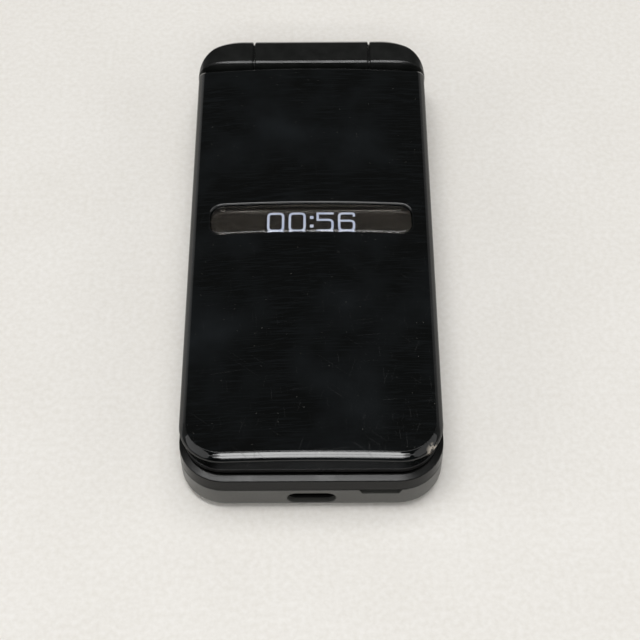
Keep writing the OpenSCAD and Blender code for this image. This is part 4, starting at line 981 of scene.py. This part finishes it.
def make_nav_ring():
    """Navigation ring with a flange and a shallow dished face."""
    at = middle_of("nav_ring")
    turns = [2 * math.pi * i / NAV_SIDES for i in range(NAV_SIDES)]
    points = [(at.x + radius * math.cos(a), at.y + radius * math.sin(a), z)
              for radius, z in NAV_PROFILE for a in turns]
    faces = []
    for k in range(len(NAV_PROFILE)):
        low, high = k * NAV_SIDES, (k + 1) % len(NAV_PROFILE) * NAV_SIDES
        for i in range(NAV_SIDES):
            j = (i + 1) % NAV_SIDES
            faces.append((low + i, low + j, high + j, high + i))
    return new_piece("nav_ring_cap", points, faces)


def make_centre_key():
    """Round centre key with a pillowed top."""
    at = middle_of("nav_centre_key")
    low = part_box("nav_centre_key")[0].z / MM
    return turned("centre_key_cap", [(CENTRE_PROFILE[0][0], low)] + CENTRE_PROFILE, (at.x, at.y), sides=64)


LEGENDS = {"key_star": "star", "key_hash": "hash", "call_key": "handset", "end_key": "rest",
           "clear_key": "back", "soft_key_a": "dash", "soft_key_b": "dash", "soft_key_c": "dot",
           "soft_key_d": "dot"}
LEGEND_H, SMALL_LEGEND_H, LEGEND_STROKE, FINE_STROKE = 4.2, 3.0, 0.55, 0.42
LEGEND_SINK, LEGEND_PROUD = 0.04, 0.02
# The knuckles above this height are painted to match the barrel between them
PAINT_Z = BASE_H + 0.4


def place(piece, body, finish, slot, *nodes, angle=32):
    """Gives a piece its finish and body, and hides the nodes that it stands for. Its slot argument is not
    used.
    """
    smooth(piece, angle)
    piece.data.materials.clear()
    piece.data.materials.append(finish)
    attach(piece, body)
    if nodes:
        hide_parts(*nodes)
    return piece


place(make_lid_cover(), "lid", GLOSS_BLACK, "gloss_black", "lid_outer_cover", angle=20)
place(make_window(), "lid", SMOKED, "smoked_window", "sub_display_window")
place(soft_block("clock_panel", PANEL_W, PANEL_L, PANEL_Z0, PANEL_TOP, 0, WINDOW_Y, PANEL_R, PANEL_EDGE),
      "lid", MASK_PRINT, "dark_plastic", "sub_display_panel")
place(make_clock(), "lid", LIT, "display_glass")
place(make_barrel(), "lid", HINGE_PAINT, "satin_black_metal", "lid_frame", angle=15)
place(make_bezel(), "lid", BEZEL_BLACK, "dark_plastic", "lid_inner_bezel")
place(make_bumpers(), "lid", RUBBER, "rubber", "lid_bumpers")
place(make_display(), "lid", PANEL_GLASS, "display_glass", "main_display_glass")
upper_case = place(make_upper_case(), "base", CASE_BLACK, "satin_black", "base_upper_case", angle=15)
upper_case.data.materials.append(HINGE_PAINT)
for face in upper_case.data.polygons:
    face.material_index = int(face.center.z > PAINT_Z * MM)
place(make_rear_cover(), "rear_cover", COVER_GREY, "satin_grey", "rear_cover", angle=20)
place(make_nav_ring(), "nav_ring", KEY_PLASTIC, "key_plastic", "nav_ring")
place(make_centre_key(), "nav_centre_key", KEY_PLASTIC, "key_plastic", "nav_centre_key")
for name in NUMBER_KEYS + OTHER_KEYS:
    place(make_key(name), name, KEY_PLASTIC, "key_plastic", name)
    at = middle_of(name)
    ink = {"call_key": CALL_INK, "end_key": END_INK}.get(name, LEGEND_INK)
    high = LEGEND_H if name in NUMBER_KEYS else SMALL_LEGEND_H
    stroke = FINE_STROKE if name in ("key_star", "key_hash") else LEGEND_STROKE
    legend = sign(name + "_legend", LEGENDS.get(name, name[-1]), high / SIGN_H, high, stroke, at.x, at.y,
                  KEY_TOP - LEGEND_SINK, KEY_TOP + LEGEND_PROUD)
    place(legend, name, ink, "key_plastic")

# Finishes of the nodes whose solids show as they are
NODE_FINISH = {
    "main_display_panel": DARK_PLASTIC, "earpiece_receiver": DARK_PLASTIC, "earpiece_mesh": MESH_STEEL,
    "lid_magnet": STEEL, "lid_circuit_board": BOARD, "lid_screws": STEEL, "hinge_cartridge": STEEL,
    "hinge_spring": SPRING_STEEL, "hinge_flex": FLEX_FILM, "base_chassis": DARK_PLASTIC, "main_board": BOARD,
    "shield_can": STEEL, "dome_sheet": DOME_FOIL, "key_mat": PALE_RUBBER, "socket_shell": DARK_PLATE,
    "socket_tongue": DARK_PLASTIC, "battery_pack": BATTERY_FILM, "battery_contacts": CONTACT_GOLD,
    "loudspeaker": DARK_PLASTIC, "microphone": STEEL, "vibration_motor": STEEL, "motor_weight": TUNGSTEN,
    "hinge_shaft": SPRING_STEEL, "hinge_bush": STEEL, "base_screws": STEEL, "antenna_plate": ANTENNA_FILM,
    "cover_seal": RUBBER, "speaker_mesh": MESH_STEEL, "nav_pad": RUBBER,
}
for name, finish in NODE_FINISH.items():
    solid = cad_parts[name]
    solid.data.materials.clear()
    solid.data.materials.append(finish)

# Camera at the photograph's angle
CAM_AZ, CAM_EL, CAM_ROLL = 0.331, 54.928, -0.562
CAM_AIM = Vector((1.751, -17.619, 8.0)) * MM
CAM_REACH = 320.8 * MM
CAM_FOCUS = 1550 / 640
SENSOR = 36.0


def make_camera():
    """Camera aimed by azimuth, elevation and roll."""
    az, el, roll = (math.radians(a) for a in (CAM_AZ, CAM_EL, CAM_ROLL))
    back = Vector((math.sin(az) * math.cos(el), -math.cos(az) * math.cos(el), math.sin(el)))
    right = (-back).cross(Vector((0, 0, 1))).normalized()
    up = right.cross(-back)
    across = math.cos(roll) * right + math.sin(roll) * up
    above = -math.sin(roll) * right + math.cos(roll) * up
    data = bpy.data.cameras.new("camera")
    data.sensor_width = SENSOR
    data.lens = SENSOR * CAM_FOCUS
    data.clip_start = 0.01
    made = bpy.data.objects.new("camera", data)
    SCENE.collection.objects.link(made)
    turn = Matrix((across, above, back)).transposed().to_4x4()
    made.matrix_world = Matrix.Translation(CAM_AIM + back * CAM_REACH) @ turn
    SCENE.camera = made


make_camera()


# Table and light
TABLE_REACH = 2500


def make_table():
    """Wide pale table top."""
    corners = [(x * TABLE_REACH, y * TABLE_REACH, 0) for x, y in ((-1, -1), (1, -1), (1, 1), (-1, 1))]
    table = new_piece("table", corners, [(0, 1, 2, 3)])
    table.data.materials.append(speckled_laminate())


def softbox(name, direction, reach, w, length, radiance, shape="RECTANGLE"):
    """Area lamp facing the phone, sized in metres and given by its brightness."""
    data = bpy.data.lights.new(name, "AREA")
    data.shape = shape
    data.size = w
    data.size_y = length
    data.energy = radiance * math.pi * w * length * (math.pi / 4 if shape == "ELLIPSE" else 1.0)
    made = bpy.data.objects.new(name, data)
    SCENE.collection.objects.link(made)
    made.visible_camera = False
    way = Vector(direction).normalized()
    made.location = way * reach
    made.rotation_mode = "QUATERNION"
    made.rotation_quaternion = way.to_track_quat("Z", "Y")


make_table()
softbox("overhead_softbox", (-0.05, 0.22, 1.0), 3.0, 3.0, 1.25, 3.05)
softbox("overhead_strip", (-0.05, -0.09, 1.0), 3.0, 2.0, 0.45, 12.0)
softbox("left_softbox", (-1.0, -0.35, 0.5), 3.0, 3.2, 1.5, 1.1)
softbox("right_softbox", (1.0, -0.35, 0.5), 3.0, 3.2, 1.5, 0.85)
# Strips that draw the bright line along the lid's bevel, by their lean from upright
for name, lean, reach, w, length, radiance in (
        ("front_strip_high", 46, 3.0, 1.9, 0.14, 6), ("front_strip_high_wide", 46, 3.03, 2.9, 0.14, 6),
        ("front_strip_low", 54, 3.0, 1.9, 0.14, 6), ("front_strip_low_wide", 54, 3.03, 2.9, 0.14, 6),
        ("front_glow", 50, 3.1, 4.4, 0.4, 1.6)):
    tilt = math.radians(lean)
    softbox(name, (0, -math.sin(tilt), math.cos(tilt)), reach, w, length, radiance, "ELLIPSE")

# A dim even room, darkest in front, behind a pale backdrop
BACKDROP = 0.82
world = bpy.data.worlds.new("soft_room")
SCENE.world = world
world.use_nodes = True
room = world.node_tree
way = node(room, "ShaderNodeTexCoord").outputs["Generated"]
rise = node(room, "ShaderNodeSeparateXYZ", {}, {"Vector": way})
sky = node(room, "ShaderNodeMapRange", {"From Min": 0.1, "From Max": 0.6, "To Min": 0.26, "To Max": 0.09},
           {"Value": rise.outputs["Z"]})
front = node(room, "ShaderNodeMapRange", {"From Min": -0.8, "From Max": -0.3, "To Min": 0.15, "To Max": 1.0},
             {"Value": rise.outputs["Y"]})
level = gathered(room, [sky.outputs["Result"], front.outputs["Result"]], "MULTIPLY")
room.nodes["Background"].inputs["Color"].default_value = linear("#f4f4f2")
# The pale backdrop: all of it to the eye, and its low band in gloss and glass
ray = node(room, "ShaderNodeLightPath").outputs
low_band = node(room, "ShaderNodeMapRange", {"From Min": 0.05, "From Max": 0.01},
                {"Value": rise.outputs["Z"]})
mirrored = gathered(room, [ray["Is Glossy Ray"], ray["Is Transmission Ray"]])
low_mirrored = gathered(room, [mirrored, low_band.outputs["Result"]], "MULTIPLY")
seen = gathered(room, [low_mirrored, ray["Is Camera Ray"]])
shown = node(room, "ShaderNodeMix", {"data_type": "FLOAT", 3: BACKDROP}, {0: seen, 2: level})
room.links.new(shown.outputs[0], room.nodes["Background"].inputs["Strength"])
SCENE.view_settings.view_transform = "Standard"

bpy.context.view_layer.update()
